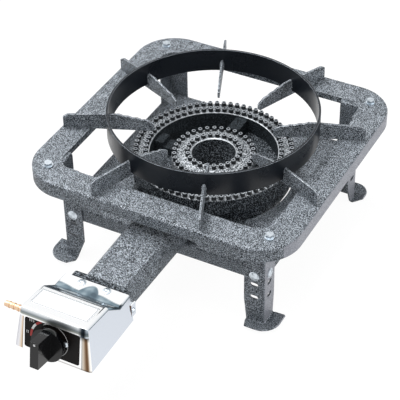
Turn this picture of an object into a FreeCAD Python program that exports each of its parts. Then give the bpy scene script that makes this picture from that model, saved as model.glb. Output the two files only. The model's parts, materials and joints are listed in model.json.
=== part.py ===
import FreeCAD, Part

import math
import os

from FreeCAD import Rotation, Vector

# A free-standing gas burner stand: a pressed square frame on four bolted legs, a lower tray
# that carries a cast two-ring burner on two straps, a welded pot support of a ring on eight
# fins, and a control box with its valve and knob at the end of the burner's mixing duct.
# Millimetres. The floor is z = 0, the origin lies under the burner's axis, and the front,
# where the knob is, faces -Y.

# Cutting and joining: how far a cutter runs past the face it opens, and how far a piece that
# is joined starts inside its base
CUT_OVERRUN = 1.0
JOIN_OVERLAP = 0.5
SAME_PLACE = 1e-4

# Frame
FRAME_WIDTH = 400.0
FRAME_CORNER_RADIUS = 60.0
FRAME_TOP = 168.0
FRAME_SHEET = 2.0
FRAME_FLANGE_DEPTH = 22.0
FRAME_BEND_RADIUS = 3.2
FRAME_LEDGE = 40.0
OPENING_WIDTH = FRAME_WIDTH - 2 * FRAME_LEDGE
OPENING_CORNER_RADIUS = 24.5
LIP_DEPTH = 10.0
LIP_TO_LEG_GAP = 0.5
NOTCH_WIDTH = 156.0
NOTCH_DEPTH = 4.0
NOTCH_CORNER_RADIUS = 3.5

# Corner legs
LEG_SHEET = 2.5
LEG_INSET = 43.5
LEG_FACE = FRAME_WIDTH / 2 - LEG_INSET
LEG_ARM = 30.5
LEG_BEND_RADIUS = 2.0
LEG_CORNER_RADIUS = 3.0
LEG_TOP_FLANGE = 22.5
FOOT_REACH = 23.0
FOOT_RISE_ANGLE = 25.0
FOOT_FLAT_DEPTH = 0.15
FOOT_END_TAPER = 10.0
CORNER_BOLT_INSET = 33.0
CORNER_BOLT_OFFSET = FRAME_WIDTH / 2 - CORNER_BOLT_INSET

# Lower tray
TRAY_TOP = 96.0
TRAY_DEPTH = 21.0
TRAY_SHEET = 2.0
TRAY_CORNER_RADIUS = 6.0
TRAY_BEND_RADIUS = 3.0
TRAY_LIP_HEIGHT = 2.2
TRAY_CUTOUT_WIDTH = 176.0
TRAY_FRONT_STRIP = 16.0
TRAY_CUTOUT_RADIUS = 6.0

# Screws between the legs and the tray, and the slots below them for a lower tray
LEG_SCREW_DROP = 13.5
LEG_SCREW_HEIGHT = TRAY_TOP - LEG_SCREW_DROP
LEG_SCREW_INSET = 15.5
LEG_SCREW_OFFSET = LEG_FACE - LEG_SCREW_INSET
SLOT_LENGTH = 12.0
SLOT_WIDTH = 6.5
SLOT_DROPS = (15.5, 37.8)

# Burner plan: the gap between the two port rings, the bowl's outer channel round it, and the
# hole in the tray that the bowl hangs in
GAP_INNER_RADIUS = 60.0
GAP_OUTER_RADIUS = 91.0
CHANNEL_BOTTOM_WIDTH = 14.0
BURNER_BOTTOM_RADIUS = GAP_OUTER_RADIUS + CHANNEL_BOTTOM_WIDTH
CHANNEL_KNEE_WIDTH = 18.5
BURNER_KNEE_RADIUS = GAP_OUTER_RADIUS + CHANNEL_KNEE_WIDTH
CHANNEL_RIM_WIDTH = 21.5
BURNER_RIM_RADIUS = GAP_OUTER_RADIUS + CHANNEL_RIM_WIDTH
TRAY_HOLE_GAP = 4.5
TRAY_HOLE_RADIUS = BURNER_KNEE_RADIUS + TRAY_HOLE_GAP

# Straps that carry the burner under the tray
STRAP_WIDTH = 25.0
STRAP_THICKNESS = 3.0
STRAP_OFFSET = 60.0
STRAP_FLAT_INSET = 6.0
STRAP_FLAT_HALF = BURNER_BOTTOM_RADIUS - STRAP_FLAT_INSET
STRAP_JOGGLE_RUN = 7.0
STRAP_OVERLAP = 14.0
STRAP_HALF_LENGTH = TRAY_HOLE_RADIUS + STRAP_OVERLAP
STRAP_DROP = 13.0
STRAP_LOW_TOP = TRAY_TOP - STRAP_DROP

# Burner casting
BURNER_WALL = 4.0
BURNER_SEAT_GAP = 0.2
BURNER_KNEE_RISE = 14.0
BURNER_KNEE_HEIGHT = STRAP_LOW_TOP + BURNER_KNEE_RISE
BURNER_DEPTH = 34.0
BURNER_RIM_HEIGHT = STRAP_LOW_TOP + BURNER_DEPTH
GAP_FLOOR_DROP = 3.0
GAP_FLOOR_HEIGHT = BURNER_RIM_HEIGHT - GAP_FLOOR_DROP
FUNNEL_TOP_RADIUS = 31.0
FUNNEL_SEAT_STEP = 1.0
FUNNEL_BOTTOM_RADIUS = 24.0
WINDOW_START_ANGLE = 98.0
WINDOW_END_ANGLE = 170.0
BRIDGE_REAR_WIDTH = 18.0
BRIDGE_REAR_HEIGHT = 22.5
BRIDGE_SIDE_WIDTH = 22.0
BRIDGE_SIDE_HEIGHT = 18.5
BRIDGE_SIDE_STEP_HEIGHT = 12.0
BRIDGE_SIDE_STEP_RADIUS = 77.0
BURNER_SCREW_OFFSET = 62.0
BURNER_BOSS_RADIUS = 7.0
BURNER_BOSS_HEIGHT = 13.0

# Mixing duct and its end collar
DUCT_TRAY_GAP = 4.0
DUCT_BOTTOM = TRAY_TOP + DUCT_TRAY_GAP
DUCT_HEIGHT = 30.5
DUCT_TOP = DUCT_BOTTOM + DUCT_HEIGHT
DUCT_BEVEL_WIDTH = 8.0
DUCT_BEVEL_HEIGHT = 10.5
DUCT_HALF_FRONT = 34.5
DUCT_HALF_REAR = 37.0
DUCT_REACH = 100.0
DUCT_FRONT_Y = -FRAME_WIDTH / 2 - DUCT_REACH
DUCT_REAR_Y = -150.0
FAN_Y = -90.0
FAN_HALF = 84.0
FAN_BOTTOM_RISE = 3.0
FAN_BOTTOM = STRAP_LOW_TOP + FAN_BOTTOM_RISE
FAN_HEIGHT = 18.0
FAN_TOP = FAN_BOTTOM + FAN_HEIGHT
FAN_END_Y = -45.0
FAN_END_HALF = 88.0
COLLAR_LENGTH = 18.0
COLLAR_FRONT_Y = DUCT_FRONT_Y - COLLAR_LENGTH
COLLAR_HALF = 40.0
COLLAR_RISE = 12.8
COLLAR_TOP = DUCT_TOP + COLLAR_RISE
COLLAR_DROP = 3.0
COLLAR_BOTTOM = DUCT_BOTTOM - COLLAR_DROP
COLLAR_CORNER_RADIUS = 6.0

# Port rings and their gas nipples
PORT_WALL = 3.5
PORT_SEAT_GAP = 0.2
OUTER_RING_TOP_OVERHANG = 1.5
OUTER_RING_TOP_RADIUS = BURNER_RIM_RADIUS + OUTER_RING_TOP_OVERHANG
OUTER_RING_OVERHANG = 4.0
OUTER_RING_SKIRT_RADIUS = BURNER_RIM_RADIUS + OUTER_RING_OVERHANG
OUTER_RING_HEIGHT = 21.5
OUTER_RING_TOP = BURNER_RIM_HEIGHT + OUTER_RING_HEIGHT
INNER_RING_EDGE_RISE = 14.5
INNER_RING_EDGE_HEIGHT = BURNER_RIM_HEIGHT + INNER_RING_EDGE_RISE
INNER_RING_HOLE_RISE = 19.0
INNER_RING_HOLE_HEIGHT = BURNER_RIM_HEIGHT + INNER_RING_HOLE_RISE
NIPPLE_HEIGHT = 6.0
NIPPLE_BASE_RADIUS = 3.5
NIPPLE_TIP_RADIUS = 2.7
NIPPLE_SIDES = 6
ROW_EDGE_GAP = 4.0
GAP_ROW_INSET = 4.8
FUNNEL_ROW_INSET = 6.4
OUTER_ROW_RADII = (OUTER_RING_TOP_RADIUS - ROW_EDGE_GAP, GAP_OUTER_RADIUS + GAP_ROW_INSET)
OUTER_ROW_PITCH = 10.0
INNER_ROW_RADII = (GAP_INNER_RADIUS - ROW_EDGE_GAP, FUNNEL_TOP_RADIUS + FUNNEL_ROW_INSET)
INNER_ROW_PITCH = 10.3

# Pot support
FIN_COUNT = 8
FIN_THICKNESS = 3.0
FIN_END_INSET = 4.1
FIN_REACH = (FRAME_WIDTH / 2 - FIN_END_INSET) / math.cos(math.pi / FIN_COUNT)
FIN_TIP_RADIUS = 83.0
FIN_SEAT_GAP = 0.2
FIN_END_RISE = 23.0
FIN_END_HEIGHT = FRAME_TOP + FIN_END_RISE
FIN_RING_RISE = 26.0
FIN_RING_HEIGHT = FRAME_TOP + FIN_RING_RISE
FIN_CHAMFER_RUN = 7.0
FIN_CHAMFER_DROP = 4.5
FIN_TIP_RISE = 11.5
FIN_TIP_HEIGHT = FRAME_TOP + FIN_TIP_RISE
FIN_RAMP_START = 11.0
FIN_RAMP_END = FIN_TIP_RADIUS + FIN_RAMP_START
FIN_RAMP_DROP = 7.7
FIN_RAMP_HEIGHT = FIN_RING_HEIGHT - FIN_RAMP_DROP
FIN_TREAD = 6.5
FIN_RISER_RUN = 6.0
FIN_TIP_CHAMFER = 3.0
FIN_WELD_GAP = 0.1
POT_RING_RADIUS = 148.5
POT_RING_WALL = 3.0
POT_RING_DROP = 17.6
POT_RING_BOTTOM = FIN_RING_HEIGHT - POT_RING_DROP
POT_RING_HEIGHT = 35.2
POT_RING_TOP = POT_RING_BOTTOM + POT_RING_HEIGHT

# Control box
PANEL_TILT = 10.0
KNOB_REACH = 107.7
KNOB_CENTRE_Y = COLLAR_FRONT_Y - KNOB_REACH
KNOB_RISE = 36.0
KNOB_CENTRE_Z = DUCT_BOTTOM + KNOB_RISE
BOX_WALL = 1.6
BOX_FRONT_HALF_HEIGHT = 34.0
BOX_BOTTOM = KNOB_CENTRE_Z - BOX_FRONT_HALF_HEIGHT
BOX_BOTTOM_HALF = 51.0
BOX_TOP_HALF = 45.3
BOX_TOP_FRONT_Z = KNOB_CENTRE_Z + BOX_FRONT_HALF_HEIGHT
BOX_REAR_GAP = 2.0
BOX_REAR_Y = COLLAR_FRONT_Y - BOX_REAR_GAP
BOX_SHELF_LENGTH = 25.0
BOX_SLOPE_REAR_Y = BOX_REAR_Y - BOX_SHELF_LENGTH
BOX_SLOPE_RUN = 27.0
BOX_TOP_REAR_Y = BOX_SLOPE_REAR_Y - BOX_SLOPE_RUN
BOX_TOP_FALL = 5.0
BOX_TOP_REAR_Z = BOX_TOP_FRONT_Z - BOX_TOP_FALL
BOX_EDGE_RADIUS = 3.0
EAR_REACH = 8.0
EAR_HEIGHT = 20.0
LABEL_HALF = 40.7
LABEL_INSET = 6.0
LABEL_REAR_Y = BOX_TOP_REAR_Y - LABEL_INSET
LABEL_LENGTH = 30.0
LABEL_FRONT_Y = LABEL_REAR_Y - LABEL_LENGTH
LABEL_DEPTH = 0.6
PANEL_HALF = 39.2
PANEL_LOW = -22.1
PANEL_HIGH = 21.7
PANEL_THICKNESS = 2.0
PANEL_RECESS = 0.8
PANEL_FIT_GAP = 0.15
PANEL_CORNER_RADIUS = 3.0
PANEL_SCREW_OFFSET = 18.9
PANEL_SCREW_LIFT = 1.5
BOX_SCREW_OFFSET = 18.2
BOX_SCREW_INSET = 6.0
BOX_SCREW_Y = BOX_REAR_Y - BOX_SCREW_INSET
EAR_SCREW_REACH = 1.5
EAR_SCREW_Y = BOX_REAR_Y + EAR_SCREW_REACH
EAR_SCREW_RISE = 16.0
EAR_SCREW_Z = BOX_BOTTOM + EAR_SCREW_RISE

# Bracket between the collar, the box and the valve
BRACKET_SHEET = 2.0
BRACKET_GAP = 0.3
BRACKET_PLATE_DEPTH = 8.0

# Gas valve, along the knob's axis: distances run back from the panel's face
VALVE_RADIUS = 13.0
VALVE_NOSE_RADIUS = 8.0
VALVE_BODY_START = 13.0
VALVE_BODY_END = 60.0
INLET_DEPTH = 36.2
PLUG_START = 27.0
PLUG_END = 52.0
PLUG_LARGE_RADIUS = 8.5
PLUG_SMALL_RADIUS = 6.5
RUNNING_FIT = 0.06
GAS_BORE_RADIUS = 2.2
BONNET_THICKNESS = 2.5
STEM_RADIUS = 3.0
STEM_FRONT = 16.0
STEM_TANG_WIDTH = 2.4
STEM_TANG_LENGTH = 5.0
TANG_SLACK = 0.15
PUSH_TRAVEL = 3.0
SEAT_THICKNESS = 1.2
SEAT_RADIUS = 5.6
SEAT_FIT_GAP = 0.15
SPRING_WIRE_RADIUS = 0.4
SPRING_RADIUS = 4.4
SPRING_TURNS = 4
JET_RADIUS = 5.0
JET_LENGTH = 12.0
JET_BORE_RADIUS = 0.8
INLET_BOSS_RADIUS = 8.0
INLET_BOSS_REACH = 24.0
BARB_HEX = 14.0
BARB_HEX_LENGTH = 20.0
BARB_TIP_X = -92.0
BARB_RADIUS = 4.75
BARB_ROOT_RADIUS = 3.9
BARB_BORE_RADIUS = 2.8
BARB_RIDGES = 3
BARB_RIDGE_PITCH = 7.0
BARB_HOLE_GAP = 1.0

# Knob: distances run out from the panel's face
KNOB_SKIRT_RADIUS = 22.7
KNOB_SKIRT_BACK_RADIUS = 21.0
KNOB_SKIRT_BACK = 5.5
KNOB_SKIRT_FRONT = 13.0
KNOB_FRONT = 40.3
KNOB_BAR_HALF = 6.0
KNOB_BAR_UP = 21.0
KNOB_BAR_DOWN = 16.8
KNOB_BAR_FLAT = 20.0
KNOB_HUB_RADIUS = 7.0
KNOB_WALL = 2.0
POINTER_RADIUS = 1.6
POINTER_HEIGHT = 17.0
POINTER_DEPTH = 0.8
STEM_FLAT = 0.8

# Fasteners: M6 through the sheets, M4 on the control box
M6_RADIUS = 3.0
M6_HOLE_RADIUS = 3.3
M6_HEX = 10.0
M6_HEAD_HEIGHT = 4.4
M6_FLANGE_RADIUS = 6.8
M6_FLANGE_THICKNESS = 1.4
M6_NUT_HEIGHT = 5.0
CORNER_BOLT_LENGTH = 14.0
LEG_SCREW_HEAD_RADIUS = 6.2
LEG_SCREW_HEAD_HEIGHT = 3.2
LEG_SCREW_LENGTH = 12.0
BURNER_SCREW_LENGTH = 12.0
M4_RADIUS = 2.0
M4_HOLE_RADIUS = 2.2
M4_HEAD_RADIUS = 3.7
M4_HEAD_HEIGHT = 2.2
M4_LENGTH = 7.0
FASTENER_FIT = 0.05

Z = Vector(0, 0, 1)
ORIGIN = Vector(0, 0, 0)
PANEL_NORMAL = Vector(0, -math.cos(math.radians(PANEL_TILT)), math.sin(math.radians(PANEL_TILT)))
PANEL_UP = Vector(0, math.sin(math.radians(PANEL_TILT)), math.cos(math.radians(PANEL_TILT)))
KNOB_CENTRE = Vector(0, KNOB_CENTRE_Y, KNOB_CENTRE_Z)
QUADRANTS = ((1, 1), (-1, 1), (-1, -1), (1, -1))


# Shared shapes

def box(x0, x1, y0, y1, z0, z1):
    """A block between two corners."""
    return Part.makeBox(x1 - x0, y1 - y0, z1 - z0, Vector(x0, y0, z0))


def rounded_rectangle(x0, x1, y0, y1, radius, z):
    """A flat face with four round corners at height z."""
    quarter = radius * (1 - math.sqrt(0.5))
    corners = (
        (Vector(x1 - radius, y0, z), Vector(x1 - quarter, y0 + quarter, z), Vector(x1, y0 + radius, z)),
        (Vector(x1, y1 - radius, z), Vector(x1 - quarter, y1 - quarter, z), Vector(x1 - radius, y1, z)),
        (Vector(x0 + radius, y1, z), Vector(x0 + quarter, y1 - quarter, z), Vector(x0, y1 - radius, z)),
        (Vector(x0, y0 + radius, z), Vector(x0 + quarter, y0 + quarter, z), Vector(x0 + radius, y0, z)),
    )
    edges = []
    for i, (start, middle, end) in enumerate(corners):
        edges.append(Part.Arc(start, middle, end).toShape())
        following = corners[(i + 1) % len(corners)][0]
        edges.append(Part.LineSegment(end, following).toShape())
    return Part.Face(Part.Wire(edges))


def rounded_prism(half_width, radius, z0, z1):
    """An upright square prism with round corners, centred on the Z axis."""
    face = rounded_rectangle(-half_width, half_width, -half_width, half_width, radius, z0)
    return face.extrude(Vector(0, 0, z1 - z0))


def polygon_prism(points, sweep):
    """A prism swept from a closed outline of points."""
    return Part.Face(Part.makePolygon(list(points) + [points[0]])).extrude(sweep)


def revolved(profile):
    """A ring turned about the Z axis from (radius, height) points."""
    points = [Vector(r, 0, z) for r, z in profile]
    return Part.Face(Part.makePolygon(points + [points[0]])).revolve(ORIGIN, Z, 360)


def turned_about_z(shape, angle):
    """A copy of the shape turned about the Z axis."""
    copy = shape.copy()
    copy.rotate(ORIGIN, Z, angle)
    return copy


def mirrored_to(shape, side_x, side_y):
    """The shape of the +X +Y corner, mirrored to another corner."""
    result = shape
    if side_x < 0:
        result = result.mirror(ORIGIN, Vector(1, 0, 0))
    if side_y < 0:
        result = result.mirror(ORIGIN, Vector(0, 1, 0))
    return result


def hex_prism(across_flats, height, base, direction):
    """A hexagonal prism that stands on base and points along direction."""
    return many_sided(6, across_flats / math.sqrt(3), across_flats / math.sqrt(3), height, base, direction)


def many_sided(sides, base_radius, tip_radius, height, base, direction):
    """A straight or tapered prism with flat sides."""
    rings = []
    for radius, z in ((base_radius, 0), (tip_radius, height)):
        points = []
        for i in range(sides):
            angle = 2 * math.pi * i / sides
            points.append(Vector(radius * math.cos(angle), radius * math.sin(angle), z))
        rings.append(Part.makePolygon(points + [points[0]]))
    solid = Part.makeLoft(rings, True, True)
    solid.Placement = FreeCAD.Placement(base, Rotation(Z, direction))
    return solid


def on_panel(out, side=0.0, up=0.0):
    """A point given by its distance out from the panel, to the right and up along it."""
    return KNOB_CENTRE + PANEL_NORMAL * out + Vector(side, 0, 0) + PANEL_UP * up


def valve_cylinder(radius, start, end):
    """A cylinder on the knob's axis between two distances from the panel's face."""
    return Part.makeCylinder(radius, end - start, on_panel(start), PANEL_NORMAL)


def valve_cone(start_radius, end_radius, start, end):
    """A cone on the knob's axis between two distances from the panel's face."""
    return Part.makeCone(start_radius, end_radius, end - start, on_panel(start), PANEL_NORMAL)


def panel_block(half_width, low, high, back, front):
    """A block square to the panel, from low to high along it and from back to front."""
    points = [
        on_panel(back, -half_width, low),
        on_panel(back, half_width, low),
        on_panel(back, half_width, high),
        on_panel(back, -half_width, high),
    ]
    return polygon_prism(points, PANEL_NORMAL * (front - back))


def fuse_all(shapes):
    """One solid made of overlapping or touching shapes."""
    return shapes[0].multiFuse(shapes[1:]).removeSplitter()


def edges_near_height(shape, height):
    """The edges that lie wholly at one height."""
    return [
        e for e in shape.Edges
        if max(abs(e.BoundBox.ZMin - height), abs(e.BoundBox.ZMax - height)) < SAME_PLACE
    ]


# Frame and legs

def pressed_pan(half_width, corner_radius, top, depth, sheet, bend_radius):
    """A square pan upside down: a flat top with a flange folded down all round."""
    outer = rounded_prism(half_width, corner_radius, top - depth, top)
    outer = outer.makeFillet(bend_radius, edges_near_height(outer, top))
    inner = rounded_prism(half_width - sheet, corner_radius - sheet, top - depth - CUT_OVERRUN, top - sheet)
    return outer.cut(inner)


def make_top_frame():
    """The square frame with its outer flange, its opening with folded lips and its bolt holes."""
    frame = pressed_pan(
        FRAME_WIDTH / 2, FRAME_CORNER_RADIUS, FRAME_TOP, FRAME_FLANGE_DEPTH, FRAME_SHEET, FRAME_BEND_RADIUS
    )
    opening = rounded_prism(
        OPENING_WIDTH / 2, OPENING_CORNER_RADIUS, FRAME_TOP - FRAME_FLANGE_DEPTH, FRAME_TOP + CUT_OVERRUN
    )
    frame = frame.cut(opening)
    lip_half = LEG_FACE - LEG_ARM - LIP_TO_LEG_GAP
    lip = box(
        OPENING_WIDTH / 2, OPENING_WIDTH / 2 + FRAME_SHEET, -lip_half, lip_half,
        FRAME_TOP - LIP_DEPTH, FRAME_TOP - FRAME_SHEET,
    )
    frame = fuse_all([frame] + [turned_about_z(lip, 90 * i) for i in range(4)])
    notch_bottom = FRAME_TOP - FRAME_FLANGE_DEPTH
    notch = rounded_rectangle(
        -NOTCH_WIDTH / 2, NOTCH_WIDTH / 2, notch_bottom - NOTCH_DEPTH, notch_bottom + NOTCH_DEPTH,
        NOTCH_CORNER_RADIUS, 0,
    ).extrude(Vector(0, 0, 4 * FRAME_SHEET))
    notch.rotate(ORIGIN, Vector(1, 0, 0), 90)
    notch.translate(Vector(0, -FRAME_WIDTH / 2 + 3 * FRAME_SHEET, 0))
    frame = frame.cut(notch)
    for side_x, side_y in QUADRANTS:
        place = Vector(
            side_x * CORNER_BOLT_OFFSET, side_y * CORNER_BOLT_OFFSET, FRAME_TOP - 2 * FRAME_SHEET
        )
        frame = frame.cut(Part.makeCylinder(M6_HOLE_RADIUS, 3 * FRAME_SHEET, place))
    return frame


def arc_edge(centre, radius, start_angle, end_angle):
    """An arc in the XZ plane, with its angles in degrees from +X towards +Z."""
    points = []
    for angle in (start_angle, (start_angle + end_angle) / 2, end_angle):
        a = math.radians(angle)
        points.append(centre + Vector(radius * math.cos(a), 0, radius * math.sin(a)))
    return Part.Arc(*points).toShape(), points[0], points[2]


def leg_section():
    """The folded section of a leg: an upright web, a top flange and a foot that rises outward.

    It lies in the XZ plane with the web's outer face on x = 0.
    """
    outside = LEG_BEND_RADIUS + LEG_SHEET
    leg_top = FRAME_TOP - FRAME_SHEET
    high = Vector(LEG_BEND_RADIUS, 0, leg_top - outside)
    low = Vector(LEG_BEND_RADIUS, 0, outside - FOOT_FLAT_DEPTH)
    foot_turn = 270 + FOOT_RISE_ANGLE
    outer_top, a0, a1 = arc_edge(high, outside, 180, 90)
    inner_top, b0, b1 = arc_edge(high, LEG_BEND_RADIUS, 90, 180)
    inner_low, c0, c1 = arc_edge(low, LEG_BEND_RADIUS, 180, foot_turn)
    outer_low, d0, d1 = arc_edge(low, outside, foot_turn, 180)
    rise = math.radians(FOOT_RISE_ANGLE)
    along = Vector(math.cos(rise), 0, math.sin(rise))
    foot_run = (FOOT_REACH - d0.x) / math.cos(rise)
    edges = [
        outer_top,
        Part.LineSegment(a1, Vector(LEG_TOP_FLANGE, 0, a1.z)).toShape(),
        Part.LineSegment(Vector(LEG_TOP_FLANGE, 0, a1.z), Vector(LEG_TOP_FLANGE, 0, b0.z)).toShape(),
        Part.LineSegment(Vector(LEG_TOP_FLANGE, 0, b0.z), b0).toShape(),
        inner_top,
        Part.LineSegment(b1, c0).toShape(),
        inner_low,
        Part.LineSegment(c1, c1 + along * foot_run).toShape(),
        Part.LineSegment(c1 + along * foot_run, d0 + along * foot_run).toShape(),
        Part.LineSegment(d0 + along * foot_run, d0).toShape(),
        outer_low,
        Part.LineSegment(d1, a0).toShape(),
    ]
    return Part.Face(Part.Wire(edges))


def leg_cutter(shape):
    """The shape of one arm's hole, repeated for the other arm across the corner's diagonal."""
    return [shape, shape.mirror(ORIGIN, Vector(1, -1, 0))]


def slot_cutter(height):
    """A level slot through the arm that faces +X."""
    y = LEG_SCREW_OFFSET
    half = (SLOT_LENGTH - SLOT_WIDTH) / 2
    depth = 4 * LEG_SHEET
    start = Vector(LEG_FACE - 2 * LEG_SHEET, y, height)
    ends = [
        Part.makeCylinder(SLOT_WIDTH / 2, depth, start + Vector(0, side * half, 0), Vector(1, 0, 0))
        for side in (-1, 1)
    ]
    middle = box(
        start.x, start.x + depth, y - half, y + half, height - SLOT_WIDTH / 2, height + SLOT_WIDTH / 2
    )
    return fuse_all(ends + [middle])


def make_leg():
    """The leg of the +X +Y corner."""
    section = leg_section()
    corner = LEG_FACE - LEG_CORNER_RADIUS
    straight = section.copy()
    straight.translate(Vector(LEG_FACE, LEG_FACE - LEG_ARM, 0))
    arm = straight.extrude(Vector(0, corner - (LEG_FACE - LEG_ARM), 0))
    turning = section.copy()
    turning.translate(Vector(LEG_FACE, corner, 0))
    bend = turning.revolve(Vector(corner, corner, 0), Z, 90)
    leg = fuse_all([arm, bend, arm.mirror(ORIGIN, Vector(1, -1, 0))])
    cutters = [box(-FRAME_WIDTH, FRAME_WIDTH, -FRAME_WIDTH, FRAME_WIDTH, -1, 0)]
    arm_end = LEG_FACE - LEG_ARM
    taper = polygon_prism(
        [
            Vector(LEG_FACE + LEG_BEND_RADIUS + LEG_SHEET, arm_end, 0),
            Vector(LEG_FACE + 2 * FOOT_REACH, arm_end, 0),
            Vector(LEG_FACE + 2 * FOOT_REACH, arm_end + 2 * FOOT_END_TAPER, 0),
        ],
        Vector(0, 0, FOOT_REACH),
    )
    cutters += leg_cutter(taper)
    for drop in SLOT_DROPS:
        cutters += leg_cutter(slot_cutter(LEG_SCREW_HEIGHT - drop))
    screw = Part.makeCylinder(
        M6_HOLE_RADIUS, 4 * LEG_SHEET,
        Vector(LEG_FACE - 2 * LEG_SHEET, LEG_SCREW_OFFSET, LEG_SCREW_HEIGHT), Vector(1, 0, 0),
    )
    cutters += leg_cutter(screw)
    bolt = Vector(CORNER_BOLT_OFFSET, CORNER_BOLT_OFFSET, FRAME_TOP - FRAME_SHEET - 2 * LEG_SHEET)
    cutters.append(Part.makeCylinder(M6_HOLE_RADIUS, 3 * LEG_SHEET, bolt))
    return leg.cut(cutters)


# Tray and straps

def make_lower_tray():
    """The square tray, upside down, with the burner's hole, the duct's cut-out and screw holes."""
    half = LEG_FACE - LEG_SHEET
    tray = pressed_pan(half, TRAY_CORNER_RADIUS, TRAY_TOP, TRAY_DEPTH, TRAY_SHEET, TRAY_BEND_RADIUS)
    collar = Part.makeCylinder(
        TRAY_HOLE_RADIUS + TRAY_SHEET, TRAY_SHEET + TRAY_LIP_HEIGHT, Vector(0, 0, TRAY_TOP - TRAY_SHEET)
    )
    tray = fuse_all([tray, collar])
    below = Vector(0, 0, TRAY_TOP - 2 * TRAY_SHEET)
    hole = Part.makeCylinder(TRAY_HOLE_RADIUS, 3 * TRAY_SHEET + TRAY_LIP_HEIGHT, below)
    cutout = rounded_rectangle(
        -TRAY_CUTOUT_WIDTH / 2, TRAY_CUTOUT_WIDTH / 2, -half + TRAY_FRONT_STRIP, 0,
        TRAY_CUTOUT_RADIUS, below.z
    ).extrude(Vector(0, 0, 3 * TRAY_SHEET + TRAY_LIP_HEIGHT))
    cutters = [hole, cutout]
    for side_x, side_y in QUADRANTS:
        across = Part.makeCylinder(
            M6_HOLE_RADIUS, 4 * TRAY_SHEET,
            Vector(half - 2 * TRAY_SHEET, LEG_SCREW_OFFSET, LEG_SCREW_HEIGHT), Vector(1, 0, 0),
        )
        cutters += [mirrored_to(s, side_x, side_y) for s in leg_cutter(across)]
    return tray.cut(cutters)


def make_strap(side):
    """A strap across the tray's hole, let down at both ends' joggles to the burner's seat."""
    low = STRAP_LOW_TOP
    high = TRAY_TOP - TRAY_SHEET
    bend_end = STRAP_FLAT_HALF + STRAP_JOGGLE_RUN
    top = (
        (-STRAP_HALF_LENGTH, high), (-bend_end, high), (-STRAP_FLAT_HALF, low),
        (STRAP_FLAT_HALF, low), (bend_end, high), (STRAP_HALF_LENGTH, high),
    )
    y = side * STRAP_OFFSET - STRAP_WIDTH / 2
    upper = [Vector(x, y, z) for x, z in top]
    lower = [Vector(x, y, z - STRAP_THICKNESS) for x, z in reversed(top)]
    strap = polygon_prism(upper + lower, Vector(0, STRAP_WIDTH, 0))
    for side_x in (-1, 1):
        place = Vector(side_x * BURNER_SCREW_OFFSET, side * STRAP_OFFSET, low - 2 * STRAP_THICKNESS)
        strap = strap.cut(Part.makeCylinder(M6_HOLE_RADIUS, 3 * STRAP_THICKNESS, place))
    return strap


# Burner

def duct_outline(y, half, bottom, top, bevel_width, bevel_height):
    """A six-sided outline across the duct: flat bottom, upright sides and bevelled top edges."""
    points = [
        Vector(-half, y, bottom),
        Vector(half, y, bottom),
        Vector(half, y, top - bevel_height),
        Vector(half - bevel_width, y, top),
        Vector(-half + bevel_width, y, top),
        Vector(-half, y, top - bevel_height),
    ]
    return Part.makePolygon(points + [points[0]])


def duct_and_fan(inset, front_y):
    """The mixing duct that spreads into a flat fan, drawn in on all sides by inset."""
    fan_bevel_width = DUCT_BEVEL_WIDTH
    fan_bevel_height = DUCT_BEVEL_HEIGHT / 2
    stations = (
        (front_y, DUCT_HALF_FRONT, DUCT_BOTTOM, DUCT_TOP, DUCT_BEVEL_WIDTH, DUCT_BEVEL_HEIGHT),
        (DUCT_REAR_Y, DUCT_HALF_REAR, DUCT_BOTTOM, DUCT_TOP, DUCT_BEVEL_WIDTH, DUCT_BEVEL_HEIGHT),
        (FAN_Y, FAN_HALF, FAN_BOTTOM, FAN_TOP, fan_bevel_width, fan_bevel_height),
        (FAN_END_Y, FAN_END_HALF, FAN_BOTTOM, FAN_TOP, fan_bevel_width, fan_bevel_height),
    )
    outlines = []
    for y, half, bottom, top, bevel_width, bevel_height in stations:
        outlines.append(
            duct_outline(
                y, half - inset, bottom + inset, top - inset,
                bevel_width - inset / 2, bevel_height - inset / 2,
            )
        )
    return Part.makeLoft(outlines, True, True)


def gap_window(inset):
    """The open window between the two rings at the rear left, grown or drawn in by inset."""
    angle_inset = math.degrees(inset / GAP_INNER_RADIUS)
    start = WINDOW_START_ANGLE + angle_inset
    sweep = WINDOW_END_ANGLE - angle_inset - start
    height = GAP_FLOOR_HEIGHT
    low = Vector(0, 0, STRAP_LOW_TOP - CUT_OVERRUN)
    outer = Part.makeCylinder(GAP_OUTER_RADIUS - inset, height, low, Z, sweep)
    inner = Part.makeCylinder(GAP_INNER_RADIUS + inset, height, low, Z)
    return turned_about_z(outer.cut(inner), start)


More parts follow.
